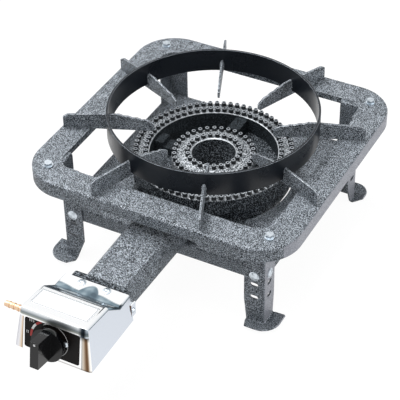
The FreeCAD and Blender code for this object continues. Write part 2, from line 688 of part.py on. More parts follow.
def make_burner_body():
    """The cast bowl under both port rings, with its fan, its mixing duct and the end collar."""
    wall = BURNER_WALL
    bottom = STRAP_LOW_TOP + BURNER_SEAT_GAP
    funnel_rim = FUNNEL_TOP_RADIUS - FUNNEL_SEAT_STEP
    bowl = revolved([
        (FUNNEL_BOTTOM_RADIUS, bottom), (BURNER_BOTTOM_RADIUS, bottom),
        (BURNER_KNEE_RADIUS, BURNER_KNEE_HEIGHT),
        (BURNER_RIM_RADIUS, BURNER_RIM_HEIGHT), (GAP_OUTER_RADIUS, BURNER_RIM_HEIGHT),
        (GAP_OUTER_RADIUS, GAP_FLOOR_HEIGHT), (GAP_INNER_RADIUS, GAP_FLOOR_HEIGHT),
        (GAP_INNER_RADIUS, BURNER_RIM_HEIGHT), (funnel_rim, BURNER_RIM_HEIGHT),
    ])
    over = BURNER_RIM_HEIGHT + CUT_OVERRUN
    cavity = revolved([
        (FUNNEL_BOTTOM_RADIUS + wall, bottom + wall), (BURNER_BOTTOM_RADIUS - wall, bottom + wall),
        (BURNER_KNEE_RADIUS - wall, BURNER_KNEE_HEIGHT), (BURNER_RIM_RADIUS - wall, over),
        (GAP_OUTER_RADIUS + wall, over), (GAP_OUTER_RADIUS + wall, GAP_FLOOR_HEIGHT - wall),
        (GAP_INNER_RADIUS - wall, GAP_FLOOR_HEIGHT - wall), (GAP_INNER_RADIUS - wall, over),
        (funnel_rim + wall, over),
    ])
    collar = box(
        -COLLAR_HALF, COLLAR_HALF, COLLAR_FRONT_Y, DUCT_FRONT_Y, COLLAR_BOTTOM, COLLAR_TOP
    )
    collar_depth = DUCT_FRONT_Y - COLLAR_FRONT_Y
    corner_edges = [e for e in collar.Edges if abs(e.BoundBox.YLength - collar_depth) < SAME_PLACE]
    collar = collar.makeFillet(COLLAR_CORNER_RADIUS, corner_edges)
    bodies = [bowl, duct_and_fan(0.0, DUCT_FRONT_Y), collar]
    gap = PORT_SEAT_GAP
    rear = box(
        -BRIDGE_REAR_WIDTH / 2, BRIDGE_REAR_WIDTH / 2, GAP_INNER_RADIUS + gap, GAP_OUTER_RADIUS - gap,
        GAP_FLOOR_HEIGHT - CUT_OVERRUN, GAP_FLOOR_HEIGHT + BRIDGE_REAR_HEIGHT,
    )
    side = box(
        -GAP_OUTER_RADIUS + gap, -BRIDGE_SIDE_STEP_RADIUS, -BRIDGE_SIDE_WIDTH / 2, BRIDGE_SIDE_WIDTH / 2,
        GAP_FLOOR_HEIGHT - CUT_OVERRUN, GAP_FLOOR_HEIGHT + BRIDGE_SIDE_HEIGHT,
    )
    step = box(
        -BRIDGE_SIDE_STEP_RADIUS, -GAP_INNER_RADIUS - gap, -BRIDGE_SIDE_WIDTH / 2, BRIDGE_SIDE_WIDTH / 2,
        GAP_FLOOR_HEIGHT - CUT_OVERRUN, GAP_FLOOR_HEIGHT + BRIDGE_SIDE_STEP_HEIGHT,
    )
    between_rings = revolved([
        (GAP_INNER_RADIUS + gap, GAP_FLOOR_HEIGHT - 2 * CUT_OVERRUN),
        (GAP_OUTER_RADIUS - gap, GAP_FLOOR_HEIGHT - 2 * CUT_OVERRUN),
        (GAP_OUTER_RADIUS - gap, OUTER_RING_TOP), (GAP_INNER_RADIUS + gap, OUTER_RING_TOP),
    ])
    bodies += [block.common(between_rings) for block in (rear, side, step)]
    solid = fuse_all(bodies)
    hollow = cavity.cut(gap_window(-wall))
    hollow = fuse_all([hollow, duct_and_fan(wall, COLLAR_FRONT_Y - CUT_OVERRUN)])
    hollow = hollow.cut(funnel_core(wall))
    solid = solid.cut(hollow)
    solid = solid.cut(gap_window(0.0))
    bosses = []
    drills = []
    for side_x, side_y in QUADRANTS:
        place = Vector(side_x * BURNER_SCREW_OFFSET, side_y * STRAP_OFFSET, bottom)
        bosses.append(Part.makeCylinder(BURNER_BOSS_RADIUS, BURNER_BOSS_HEIGHT, place))
        drills.append(Part.makeCylinder(
            M6_RADIUS + FASTENER_FIT, BURNER_BOSS_HEIGHT - wall / 2, place - Vector(0, 0, 1)
        ))
    solid = fuse_all([solid] + bosses)
    return solid.cut(drills + collar_drills())


def funnel_core(wall):
    """The funnel through the middle of the bowl with its wall, which no gas space may cut."""
    return Part.makeCone(
        FUNNEL_BOTTOM_RADIUS + wall, FUNNEL_TOP_RADIUS - FUNNEL_SEAT_STEP + wall,
        BURNER_RIM_HEIGHT - STRAP_LOW_TOP - BURNER_SEAT_GAP, Vector(0, 0, STRAP_LOW_TOP + BURNER_SEAT_GAP),
    )


def collar_drills():
    """The two tapped holes in the collar's front face for the bracket's screws."""
    return [
        Part.makeCylinder(
            M4_RADIUS + FASTENER_FIT, M4_LENGTH,
            Vector(side * BOX_SCREW_OFFSET, COLLAR_FRONT_Y - CUT_OVERRUN, bracket_screw_z()),
            Vector(0, 1, 0),
        )
        for side in (-1, 1)
    ]


def bracket_shelf_top():
    """The height of the bracket's shelf, just under the cover's rear top."""
    return COLLAR_TOP - BOX_WALL - BRACKET_GAP


def bracket_screw_z():
    """The height of the bracket's screws, midway between the duct's bore and the bracket's shelf."""
    return (DUCT_TOP - BURNER_WALL + bracket_shelf_top() - BRACKET_SHEET) / 2


def nipple_rows(radii, pitch, base_height):
    """Rows of tapered gas nipples, each standing a little way into the surface below it."""
    nipples = []
    for radius in radii:
        count = round(2 * math.pi * radius / pitch)
        base = Vector(radius, 0, base_height(radius) - JOIN_OVERLAP)
        nipple = many_sided(
            NIPPLE_SIDES, NIPPLE_BASE_RADIUS, NIPPLE_TIP_RADIUS, NIPPLE_HEIGHT + JOIN_OVERLAP, base, Z
        )
        for i in range(count):
            nipples.append(turned_about_z(nipple, 360.0 * i / count))
    return nipples


def make_outer_port_ring():
    """The outer cast ring: an upside-down channel with a flared skirt and two rows of nipples."""
    bottom = BURNER_RIM_HEIGHT + PORT_SEAT_GAP
    wall = PORT_WALL
    ring = revolved([
        (GAP_OUTER_RADIUS, bottom), (GAP_OUTER_RADIUS, OUTER_RING_TOP),
        (OUTER_RING_TOP_RADIUS, OUTER_RING_TOP), (OUTER_RING_SKIRT_RADIUS, bottom),
        (OUTER_RING_SKIRT_RADIUS - 2 * wall, bottom), (OUTER_RING_TOP_RADIUS - wall, OUTER_RING_TOP - wall),
        (GAP_OUTER_RADIUS + wall, OUTER_RING_TOP - wall), (GAP_OUTER_RADIUS + wall, bottom),
    ])
    return ring.multiFuse(nipple_rows(OUTER_ROW_RADII, OUTER_ROW_PITCH, lambda radius: OUTER_RING_TOP))


def inner_ring_height(radius):
    """The height of the inner ring's coned top at a radius."""
    share = (GAP_INNER_RADIUS - radius) / (GAP_INNER_RADIUS - FUNNEL_TOP_RADIUS)
    return INNER_RING_EDGE_HEIGHT + (INNER_RING_HOLE_HEIGHT - INNER_RING_EDGE_HEIGHT) * share


def make_inner_port_ring():
    """The inner cast ring: a coned top round the funnel's mouth, with two rows of nipples."""
    bottom = BURNER_RIM_HEIGHT + PORT_SEAT_GAP
    wall = PORT_WALL
    ring = revolved([
        (FUNNEL_TOP_RADIUS - FUNNEL_SEAT_STEP, bottom), (FUNNEL_TOP_RADIUS, INNER_RING_HOLE_HEIGHT),
        (GAP_INNER_RADIUS, INNER_RING_EDGE_HEIGHT), (GAP_INNER_RADIUS, bottom),
        (GAP_INNER_RADIUS - wall, bottom),
        (GAP_INNER_RADIUS - wall, INNER_RING_EDGE_HEIGHT - wall),
        (FUNNEL_TOP_RADIUS + wall, INNER_RING_HOLE_HEIGHT - wall),
        (FUNNEL_TOP_RADIUS - FUNNEL_SEAT_STEP + wall, bottom),
    ])
    return ring.multiFuse(nipple_rows(INNER_ROW_RADII, INNER_ROW_PITCH, inner_ring_height))


# Pot support

def make_pot_ring():
    """The upright ring with a slot below each fin's shoulder, where the fin passes through."""
    ring = revolved([
        (POT_RING_RADIUS - POT_RING_WALL, POT_RING_BOTTOM), (POT_RING_RADIUS, POT_RING_BOTTOM),
        (POT_RING_RADIUS, POT_RING_TOP), (POT_RING_RADIUS - POT_RING_WALL, POT_RING_TOP),
    ])
    half = FIN_THICKNESS / 2 + FIN_WELD_GAP
    slot = box(
        POT_RING_RADIUS - 2 * POT_RING_WALL, POT_RING_RADIUS + POT_RING_WALL, -half, half,
        POT_RING_BOTTOM - CUT_OVERRUN, FIN_RING_HEIGHT + FIN_WELD_GAP,
    )
    return ring.cut([turned_about_z(slot, fin_angle(i)) for i in range(FIN_COUNT)])


def fin_angle(index):
    """The direction of one fin, so that the frame's sides lie between two fins."""
    step = 360.0 / FIN_COUNT
    return step / 2 + step * index


def make_fin(index):
    """One upright fin: a stepped inner tip under the pot and a plain outer end on the frame."""
    bottom = FRAME_TOP + FIN_SEAT_GAP
    inside = POT_RING_RADIUS - POT_RING_WALL
    outline = [
        (FIN_TIP_RADIUS + FIN_TIP_CHAMFER, bottom), (FIN_REACH, bottom),
        (FIN_REACH, FIN_END_HEIGHT - FIN_CHAMFER_DROP),
        (FIN_REACH - FIN_CHAMFER_RUN, FIN_END_HEIGHT), (POT_RING_RADIUS, FIN_RING_HEIGHT),
        (inside, FIN_RING_HEIGHT),
    ]
    steps = int((inside - FIN_RAMP_END) / (FIN_TREAD + FIN_RISER_RUN) - 0.5)
    rise = (FIN_RING_HEIGHT - FIN_RAMP_HEIGHT) / steps
    for i in reversed(range(steps)):
        start = FIN_RAMP_END + i * (FIN_TREAD + FIN_RISER_RUN)
        outline.append((start + FIN_TREAD + FIN_RISER_RUN, FIN_RAMP_HEIGHT + (i + 1) * rise))
        outline.append((start + FIN_TREAD, FIN_RAMP_HEIGHT + i * rise))
    outline += [
        (FIN_RAMP_END, FIN_RAMP_HEIGHT), (FIN_TIP_RADIUS, FIN_TIP_HEIGHT),
        (FIN_TIP_RADIUS, bottom + FIN_TIP_CHAMFER),
    ]
    points = [Vector(r, -FIN_THICKNESS / 2, z) for r, z in outline]
    return turned_about_z(polygon_prism(points, Vector(0, FIN_THICKNESS, 0)), fin_angle(index))


# Control box

def box_solid(inset):
    """The control box's outer form, drawn in by inset, as a block cut by its sloping sides."""
    beyond = 1.0 if inset else 0.0
    foot = BOX_BOTTOM - beyond
    rear = BOX_REAR_Y + beyond
    profile = [
        Vector(0, rear, foot),
        Vector(0, box_front_y(foot) + inset, foot),
        Vector(0, box_front_y(BOX_TOP_FRONT_Z) + inset, BOX_TOP_FRONT_Z - inset),
        Vector(0, BOX_TOP_REAR_Y, BOX_TOP_REAR_Z - inset),
        Vector(0, BOX_SLOPE_REAR_Y, COLLAR_TOP - inset),
        Vector(0, rear, COLLAR_TOP - inset),
    ]
    profile = [p + Vector(-BOX_BOTTOM_HALF, 0, 0) for p in profile]
    solid = polygon_prism(profile, Vector(2 * BOX_BOTTOM_HALF, 0, 0))
    lean = (BOX_BOTTOM_HALF - BOX_TOP_HALF) / (BOX_TOP_FRONT_Z - BOX_BOTTOM)
    top = 2 * BOX_TOP_FRONT_Z
    sides = polygon_prism(
        [
            Vector(-BOX_BOTTOM_HALF + inset - lean, 0, BOX_BOTTOM - CUT_OVERRUN),
            Vector(BOX_BOTTOM_HALF - inset + lean, 0, BOX_BOTTOM - CUT_OVERRUN),
            Vector(BOX_BOTTOM_HALF - inset - lean * (top - BOX_BOTTOM), 0, top),
            Vector(-BOX_BOTTOM_HALF + inset + lean * (top - BOX_BOTTOM), 0, top),
        ],
        Vector(0, 2 * box_front_y(BOX_TOP_FRONT_Z), 0),
    )
    return solid.common(sides)


def box_front_y(height):
    """Where the box's tilted front lies at a height: a little in front of the panel's face."""
    panel_rise = height - on_panel(PANEL_RECESS).z
    return on_panel(PANEL_RECESS).y + panel_rise * PANEL_UP.y / PANEL_UP.z


def rounded_box_solid():
    """The control box's outer form with its long top and front edges rounded."""
    solid = box_solid(0.0)
    edges = []
    for edge in solid.Edges:
        bounds = edge.BoundBox
        is_side = abs(edge.CenterOfMass.x) > BOX_TOP_HALF - 1
        on_top = bounds.ZMin > COLLAR_TOP - 0.01
        at_front = (
            bounds.YMax < box_front_y(BOX_TOP_FRONT_Z) + 1 and bounds.ZLength > BOX_FRONT_HALF_HEIGHT
        )
        across_front = abs(edge.CenterOfMass.x) < 1 and bounds.ZMin > BOX_TOP_FRONT_Z - 1
        if (is_side and (on_top or at_front)) or across_front:
            edges.append(edge)
    return solid.makeFillet(BOX_EDGE_RADIUS, edges)


def panel_recess(gap, back, front):
    """The panel's round-cornered outline as a block between two distances from its face."""
    block = panel_block(PANEL_HALF + gap, PANEL_LOW - gap, PANEL_HIGH + gap, back, front)
    edges = [e for e in block.Edges if abs(e.Length - (front - back)) < 1e-4]
    return block.makeFillet(PANEL_CORNER_RADIUS + gap, edges)


def make_valve_cover():
    """The bright cover: a thin shell, open below and behind, with ears, openings and holes."""
    shell = rounded_box_solid().cut(box_solid(BOX_WALL))
    ears = []
    for side in (-1, 1):
        half = ear_half_width()
        ear = box(
            half - BOX_WALL, half, BOX_REAR_Y - 2, BOX_REAR_Y + EAR_REACH,
            EAR_SCREW_Z - EAR_HEIGHT / 2, EAR_SCREW_Z + EAR_HEIGHT / 2,
        )
        ears.append(mirrored_to(ear, side, 1))
    shell = fuse_all([shell] + ears)
    cutters = [panel_recess(PANEL_FIT_GAP, -3 * BOX_WALL, 3 * BOX_WALL)]
    label = box(-LABEL_HALF, LABEL_HALF, LABEL_FRONT_Y, LABEL_REAR_Y, 0, 2 * BOX_WALL)
    label.rotate(Vector(0, BOX_TOP_REAR_Y, 0), Vector(1, 0, 0), -top_slope())
    label.translate(Vector(0, 0, BOX_TOP_REAR_Z - LABEL_DEPTH))
    cutters.append(label)
    for side in (-1, 1):
        top = Vector(side * BOX_SCREW_OFFSET, BOX_SCREW_Y, COLLAR_TOP - 3 * BOX_WALL)
        cutters.append(Part.makeCylinder(M4_HOLE_RADIUS, 5 * BOX_WALL, top))
        ear = Vector(side * BOX_TOP_HALF, EAR_SCREW_Y, EAR_SCREW_Z)
        cutters.append(Part.makeCylinder(M4_HOLE_RADIUS, 5 * BOX_WALL, ear, Vector(side, 0, 0)))
    inlet = on_panel(-INLET_DEPTH)
    cutters.append(Part.makeCylinder(
        BARB_HEX / math.sqrt(3) + BARB_HOLE_GAP, BOX_BOTTOM_HALF + CUT_OVERRUN, inlet, Vector(-1, 0, 0)
    ))
    return shell.cut(cutters)


def top_slope():
    """The slope of the box's top, in degrees, from its rear edge up to its front edge."""
    run = BOX_TOP_REAR_Y - box_front_y(BOX_TOP_FRONT_Z)
    return math.degrees(math.atan2(BOX_TOP_FRONT_Z - BOX_TOP_REAR_Z, run))


def box_half_width_at(height):
    """Half the box's outer width at a height."""
    lean = (BOX_BOTTOM_HALF - BOX_TOP_HALF) / (BOX_TOP_FRONT_Z - BOX_BOTTOM)
    return BOX_BOTTOM_HALF - lean * (height - BOX_BOTTOM)


def ear_half_width():
    """Half the width over the ears, which stand level with the widest part of the sides they join."""
    return box_half_width_at(EAR_SCREW_Z - EAR_HEIGHT / 2)


def make_control_panel():
    """The dark panel in the cover's front, with its holes for the valve's nose and two screws."""
    panel = panel_recess(0.0, -PANEL_THICKNESS, 0.0)
    cutters = [valve_cylinder(VALVE_NOSE_RADIUS + PANEL_FIT_GAP, -2 * PANEL_THICKNESS, PANEL_THICKNESS)]
    for side in (-1, 1):
        place = on_panel(-2 * PANEL_THICKNESS, side * PANEL_SCREW_OFFSET, PANEL_SCREW_LIFT)
        cutters.append(Part.makeCylinder(M4_HOLE_RADIUS, 3 * PANEL_THICKNESS, place, PANEL_NORMAL))
    return panel.cut(cutters)


def make_valve_bracket():
    """The folded bracket: a plate on the collar, tabs to the cover and arms to the panel."""
    sheet = BRACKET_SHEET
    back = COLLAR_FRONT_Y
    under = bracket_shelf_top()
    half = box_half_width_at(under) - BOX_WALL - 4 * BRACKET_GAP
    plate = box(-half, half, back - sheet, back, COLLAR_BOTTOM + BOX_WALL, under)
    mouth = box(
        -DUCT_HALF_FRONT + sheet, DUCT_HALF_FRONT - sheet, back - 2 * sheet, back + sheet,
        DUCT_BOTTOM + sheet, DUCT_TOP - sheet,
    )
    plate = plate.cut(mouth)
    shelf = box(-half, half, back - 4 * BRACKET_PLATE_DEPTH / 2, back, under - sheet, under)
    front = -(PANEL_THICKNESS + BRACKET_GAP)
    face = panel_block(half - sheet, -VALVE_RADIUS, VALVE_RADIUS, front - sheet, front)
    pieces = [plate, shelf, face]
    for side in (-1, 1):
        arm = polygon_prism(
            [
                Vector(half - sheet, BOX_SLOPE_REAR_Y, under),
                Vector(half - sheet, back, under),
                Vector(half - sheet, back, KNOB_CENTRE_Z - 2 * VALVE_RADIUS),
                on_panel(front, half - sheet, -VALVE_RADIUS),
                on_panel(front, half - sheet, VALVE_RADIUS),
            ],
            Vector(sheet, 0, 0),
        )
        pieces.append(mirrored_to(arm, side, 1))
        ear_face = ear_half_width() - BOX_WALL
        tab = box(
            half - sheet, ear_face, back - sheet, back + EAR_REACH - 2,
            EAR_SCREW_Z - EAR_HEIGHT / 3, EAR_SCREW_Z + EAR_HEIGHT / 3,
        )
        pieces.append(mirrored_to(tab, side, 1))
    bracket = fuse_all(pieces)
    cutters = [valve_cylinder(VALVE_NOSE_RADIUS + PANEL_FIT_GAP, -4 * PANEL_THICKNESS, 0)]
    for side in (-1, 1):
        hole = M4_RADIUS + FASTENER_FIT
        panel_hole = on_panel(-3 * PANEL_THICKNESS, side * PANEL_SCREW_OFFSET, PANEL_SCREW_LIFT)
        cutters.append(Part.makeCylinder(hole, 3 * PANEL_THICKNESS, panel_hole, PANEL_NORMAL))
        shelf_hole = Vector(side * BOX_SCREW_OFFSET, BOX_SCREW_Y, under - 2 * sheet)
        cutters.append(Part.makeCylinder(hole, 3 * sheet, shelf_hole))
        plate_hole = Vector(side * BOX_SCREW_OFFSET, back - 2 * sheet, bracket_screw_z())
        cutters.append(Part.makeCylinder(M4_HOLE_RADIUS, 3 * sheet, plate_hole, Vector(0, 1, 0)))
        ear_hole = Vector(side * BOX_TOP_HALF, EAR_SCREW_Y, EAR_SCREW_Z) - Vector(side * 6 * sheet, 0, 0)
        cutters.append(Part.makeCylinder(hole, 9 * sheet, ear_hole, Vector(side, 0, 0)))
    inlet = on_panel(-INLET_DEPTH)
    cutters.append(Part.makeCylinder(
        BARB_HEX / math.sqrt(3) + BARB_HOLE_GAP, BOX_BOTTOM_HALF, inlet, Vector(-1, 0, 0)
    ))
    return bracket.cut(cutters)


# Gas valve

def plug_radius(depth):
    """The tapered plug's radius at a depth behind the panel."""
    share = (depth - PLUG_START) / (PLUG_END - PLUG_START)
    return PLUG_LARGE_RADIUS + (PLUG_SMALL_RADIUS - PLUG_LARGE_RADIUS) * share


def make_valve_body():
    """The brass body: a barrel with a tapered seat, a threaded inlet boss and an outlet."""
    inlet = on_panel(-INLET_DEPTH)
    barrel = valve_cylinder(VALVE_RADIUS, -VALVE_BODY_END, -VALVE_BODY_START - BONNET_THICKNESS)
    boss = Part.makeCylinder(INLET_BOSS_RADIUS, INLET_BOSS_REACH, inlet, Vector(-1, 0, 0))
    body = fuse_all([barrel, boss])
    seat = valve_cone(
        plug_radius(PLUG_END) + RUNNING_FIT, plug_radius(PLUG_START) + RUNNING_FIT, -PLUG_END, -PLUG_START
    )
    well = valve_cylinder(PLUG_LARGE_RADIUS + RUNNING_FIT, -PLUG_START, -VALVE_BODY_START)
    outlet = valve_cylinder(
        JET_RADIUS - BURNER_SEAT_GAP, -VALVE_BODY_END - CUT_OVERRUN, -VALVE_BODY_END + JET_LENGTH / 3
    )
    through = valve_cylinder(GAS_BORE_RADIUS, -VALVE_BODY_END, -PLUG_END + CUT_OVERRUN)
    bore = Part.makeCylinder(GAS_BORE_RADIUS, INLET_BOSS_REACH + CUT_OVERRUN, inlet, Vector(-1, 0, 0))
    return body.cut([seat, well, outlet, through, bore])


def make_valve_bonnet():
    """The front plate of the valve with the long nose that guides the stem through the panel."""
    plate = valve_cylinder(VALVE_RADIUS, -VALVE_BODY_START - BONNET_THICKNESS, -VALVE_BODY_START)
    nose = valve_cylinder(VALVE_NOSE_RADIUS, -VALVE_BODY_START, PUSH_TRAVEL / 2)
    bonnet = fuse_all([plate, nose])
    guide = valve_cylinder(STEM_RADIUS + RUNNING_FIT, -VALVE_BODY_START - 2 * BONNET_THICKNESS, VALVE_RADIUS)
    pocket = valve_cylinder(SEAT_RADIUS + SEAT_FIT_GAP, -VALVE_BODY_START + BONNET_THICKNESS, VALVE_RADIUS)
    return bonnet.cut([guide, pocket])


def make_valve_plug():
    """The tapered plug with its cross port, its outlet bore and the slot for the stem's tang."""
    plug = valve_cone(plug_radius(PLUG_END), plug_radius(PLUG_START), -PLUG_END, -PLUG_START)
    port = Part.makeCylinder(
        GAS_BORE_RADIUS, PLUG_LARGE_RADIUS + CUT_OVERRUN, on_panel(-INLET_DEPTH), PANEL_UP
    )
    bore = valve_cylinder(GAS_BORE_RADIUS, -PLUG_END - CUT_OVERRUN, -INLET_DEPTH)
    slot = panel_block(
        STEM_TANG_WIDTH / 2 + TANG_SLACK, -STEM_RADIUS - TANG_SLACK, STEM_RADIUS + TANG_SLACK,
        -PLUG_START - PUSH_TRAVEL - STEM_TANG_LENGTH / 2 - TANG_SLACK, -PLUG_START + CUT_OVERRUN,
    )
    return plug.cut([port, bore, slot])


def make_valve_stem():
    """The round stem: a flat tang in the plug's slot, and a D-shaped end in the knob's hub."""
    tang_end = -PLUG_START - STEM_TANG_LENGTH / 2
    round_start = -PLUG_START + PUSH_TRAVEL + TANG_SLACK
    shaft = valve_cylinder(STEM_RADIUS, round_start, STEM_FRONT)
    tang = panel_block(STEM_TANG_WIDTH / 2, -STEM_RADIUS, STEM_RADIUS, tang_end, round_start)
    round_tang = tang.common(valve_cylinder(STEM_RADIUS, tang_end, round_start))
    stem = fuse_all([shaft, round_tang])
    seat = stem_shoulder()
    shoulder = valve_cylinder(STEM_RADIUS + SEAT_THICKNESS, seat, seat + SEAT_THICKNESS)
    stem = fuse_all([stem, shoulder])
    flat = panel_block(
        STEM_RADIUS + CUT_OVERRUN, STEM_RADIUS - STEM_FLAT, STEM_RADIUS + CUT_OVERRUN,
        KNOB_SKIRT_BACK, STEM_FRONT + CUT_OVERRUN,
    )
    return stem.cut(flat)


def stem_shoulder():
    """The distance from the panel of the stem's shoulder, just in front of the spring's seat."""
    return PUSH_TRAVEL / 2 - SEAT_THICKNESS + SEAT_FIT_GAP


def make_spring_seat():
    """The small washer that the spring pushes against the stem's shoulder."""
    front = stem_shoulder() - SEAT_FIT_GAP
    washer = valve_cylinder(SEAT_RADIUS, front - SEAT_THICKNESS, front)
    hole = valve_cylinder(STEM_RADIUS + RUNNING_FIT, front - 2 * SEAT_THICKNESS, front + CUT_OVERRUN)
    return washer.cut(hole)


def make_stem_spring():
    """The coil spring round the stem, between the bonnet's pocket and the spring's seat."""
    floor = -VALVE_BODY_START + BONNET_THICKNESS + SPRING_WIRE_RADIUS + SEAT_FIT_GAP
    ceiling = stem_shoulder() - SEAT_FIT_GAP - SEAT_THICKNESS - SPRING_WIRE_RADIUS - SEAT_FIT_GAP
    length = ceiling - floor
    helix = Part.makeHelix(length / SPRING_TURNS, length, SPRING_RADIUS)
    section = Part.Wire(Part.makeCircle(SPRING_WIRE_RADIUS, Vector(SPRING_RADIUS, 0, 0), Vector(0, 1, 0)))
    coil = Part.Wire(helix.Edges).makePipeShell([section], True, True)
    coil.Placement = FreeCAD.Placement(on_panel(floor), Rotation(Z, PANEL_NORMAL))
    return coil


def make_gas_jet():
    """The brass jet in the valve's outlet, pointing down the mixing duct."""
    thread_end = -VALVE_BODY_END + JET_LENGTH / 3
    thread = valve_cylinder(JET_RADIUS - BURNER_SEAT_GAP - RUNNING_FIT, -VALVE_BODY_END, thread_end)
    head = hex_prism(2 * JET_RADIUS, JET_LENGTH / 3, on_panel(-VALVE_BODY_END), PANEL_NORMAL * -1)
    nose_start = -VALVE_BODY_END - JET_LENGTH / 3
    nose = valve_cone(JET_BORE_RADIUS * 2, JET_RADIUS - 1, nose_start - JET_LENGTH / 3, nose_start)
    jet = fuse_all([thread, head, nose])
    feed = valve_cylinder(GAS_BORE_RADIUS, nose_start, thread_end + CUT_OVERRUN)
    orifice = valve_cylinder(JET_BORE_RADIUS, nose_start - JET_LENGTH, nose_start + CUT_OVERRUN)
    return jet.cut([feed, orifice])


def make_hose_barb():
    """The brass hose barb: a hexagon against the valve's boss and a ridged spigot."""
    inlet = on_panel(-INLET_DEPTH)
    left = Vector(-1, 0, 0)
    start = inlet + left * (INLET_BOSS_REACH + PORT_SEAT_GAP)
    hexagon = hex_prism(BARB_HEX, BARB_HEX_LENGTH, start, left)
    spigot_start = start + left * BARB_HEX_LENGTH
    spigot_length = spigot_start.x - BARB_TIP_X
    pieces = [hexagon, Part.makeCylinder(BARB_ROOT_RADIUS, spigot_length, spigot_start, left)]
    for i in range(BARB_RIDGES):
        ridge = Vector(BARB_TIP_X + (i + 1) * BARB_RIDGE_PITCH, inlet.y, inlet.z)
        pieces.append(Part.makeCone(BARB_RADIUS, BARB_ROOT_RADIUS * 0.9, BARB_RIDGE_PITCH, ridge, left))
    barb = fuse_all(pieces)
    bore_length = start.x - BARB_TIP_X
    return barb.cut(Part.makeCylinder(BARB_BORE_RADIUS, bore_length + 2, start - left, left))


# Knob

def make_knob():
    """The moulded knob: a round hollow skirt, a hub on the stem and an upright bar to grip."""
    skirt = valve_cone(KNOB_SKIRT_BACK_RADIUS, KNOB_SKIRT_RADIUS, KNOB_SKIRT_BACK, KNOB_SKIRT_FRONT)
    inside = valve_cone(
        KNOB_SKIRT_BACK_RADIUS - KNOB_WALL, KNOB_SKIRT_RADIUS - KNOB_WALL,
        KNOB_SKIRT_BACK - 0.01, KNOB_SKIRT_FRONT - KNOB_WALL,
    )
    hub = valve_cylinder(KNOB_HUB_RADIUS, KNOB_SKIRT_BACK, KNOB_SKIRT_FRONT)
    outline = [
        on_panel(KNOB_SKIRT_FRONT - JOIN_OVERLAP, -KNOB_BAR_HALF, -KNOB_BAR_DOWN),
        on_panel(KNOB_FRONT, -KNOB_BAR_HALF, -KNOB_BAR_DOWN),
        on_panel(KNOB_FRONT, -KNOB_BAR_HALF, KNOB_BAR_UP),
        on_panel(KNOB_FRONT - KNOB_BAR_FLAT, -KNOB_BAR_HALF, KNOB_BAR_UP),
        on_panel(KNOB_SKIRT_FRONT - JOIN_OVERLAP, -KNOB_BAR_HALF, KNOB_BAR_UP - 1),
    ]
    bar = polygon_prism(outline, Vector(2 * KNOB_BAR_HALF, 0, 0))
    shell = fuse_all([skirt.cut(inside), hub, bar])
    shaft_back = KNOB_SKIRT_BACK - CUT_OVERRUN
    shaft = valve_cylinder(STEM_RADIUS + FASTENER_FIT, shaft_back, STEM_FRONT + FASTENER_FIT)
    flat = panel_block(
        STEM_RADIUS + CUT_OVERRUN, STEM_RADIUS - STEM_FLAT + FASTENER_FIT,
        STEM_RADIUS + 2 * CUT_OVERRUN, KNOB_SKIRT_BACK - 2 * CUT_OVERRUN, STEM_FRONT + CUT_OVERRUN,
    )
    return shell.cut([shaft.cut(flat), pointer_disc(FASTENER_FIT)])


def pointer_disc(gap):
    """The pointer's round inlay near the upper end of the bar's front face."""
    base = on_panel(KNOB_FRONT - POINTER_DEPTH - gap, 0.0, POINTER_HEIGHT)
    return Part.makeCylinder(POINTER_RADIUS + gap, POINTER_DEPTH + gap, base, PANEL_NORMAL)


# Fasteners

def make_corner_bolts():
    """Four flanged bolts down through the frame and the legs' top flanges."""
    bolts = []
    for side_x, side_y in QUADRANTS:
        seat = Vector(side_x * CORNER_BOLT_OFFSET, side_y * CORNER_BOLT_OFFSET, FRAME_TOP)
        flange = Part.makeCylinder(M6_FLANGE_RADIUS, M6_FLANGE_THICKNESS, seat)
        head = hex_prism(M6_HEX, M6_HEAD_HEIGHT, seat + Z * M6_FLANGE_THICKNESS, Z)
        shank = Part.makeCylinder(M6_RADIUS, CORNER_BOLT_LENGTH, seat - Z * CORNER_BOLT_LENGTH)
        bolts.append(fuse_all([flange, head, shank]))
    return Part.makeCompound(bolts)


def make_corner_nuts():
    """Four flanged nuts under the legs' top flanges."""
    nuts = []
    for side_x, side_y in QUADRANTS:
        seat = Vector(
            side_x * CORNER_BOLT_OFFSET, side_y * CORNER_BOLT_OFFSET, FRAME_TOP - FRAME_SHEET - LEG_SHEET
        )
        nuts.append(flanged_nut(seat, Z * -1))
    return Part.makeCompound(nuts)


def flanged_nut(seat, direction):
    """A hexagon nut with a round flange on its seat."""
    flange = Part.makeCylinder(M6_FLANGE_RADIUS, M6_FLANGE_THICKNESS, seat, direction)
    body = hex_prism(M6_HEX, M6_NUT_HEIGHT, seat + direction * 0.5, direction)
    hole = Part.makeCylinder(M6_RADIUS + FASTENER_FIT, 2 * M6_NUT_HEIGHT, seat - direction, direction)
    return fuse_all([flange, body]).cut(hole)


def leg_screw_seats():
    """The seats of the eight leg screws on the legs' outer faces, with their outward directions."""
    seats = []
    for side_x, side_y in QUADRANTS:
        across = Vector(side_x * LEG_FACE, side_y * LEG_SCREW_OFFSET, LEG_SCREW_HEIGHT)
        along = Vector(side_x * LEG_SCREW_OFFSET, side_y * LEG_FACE, LEG_SCREW_HEIGHT)
        seats.append((across, Vector(side_x, 0, 0)))
        seats.append((along, Vector(0, side_y, 0)))
    return seats


def domed_screw(seat, outward, head_radius, head_height, shank_radius, length):
    """A screw with a low domed head on its seat and a plain shank."""
    rim = head_height / 3
    rim_disc = Part.makeCylinder(head_radius, rim, seat, outward)
    dome = Part.makeCone(head_radius, head_radius / 2, head_height - rim, seat + outward * rim, outward)
    shank = Part.makeCylinder(shank_radius, length, seat - outward * length, outward)
    return fuse_all([rim_disc, dome, shank])


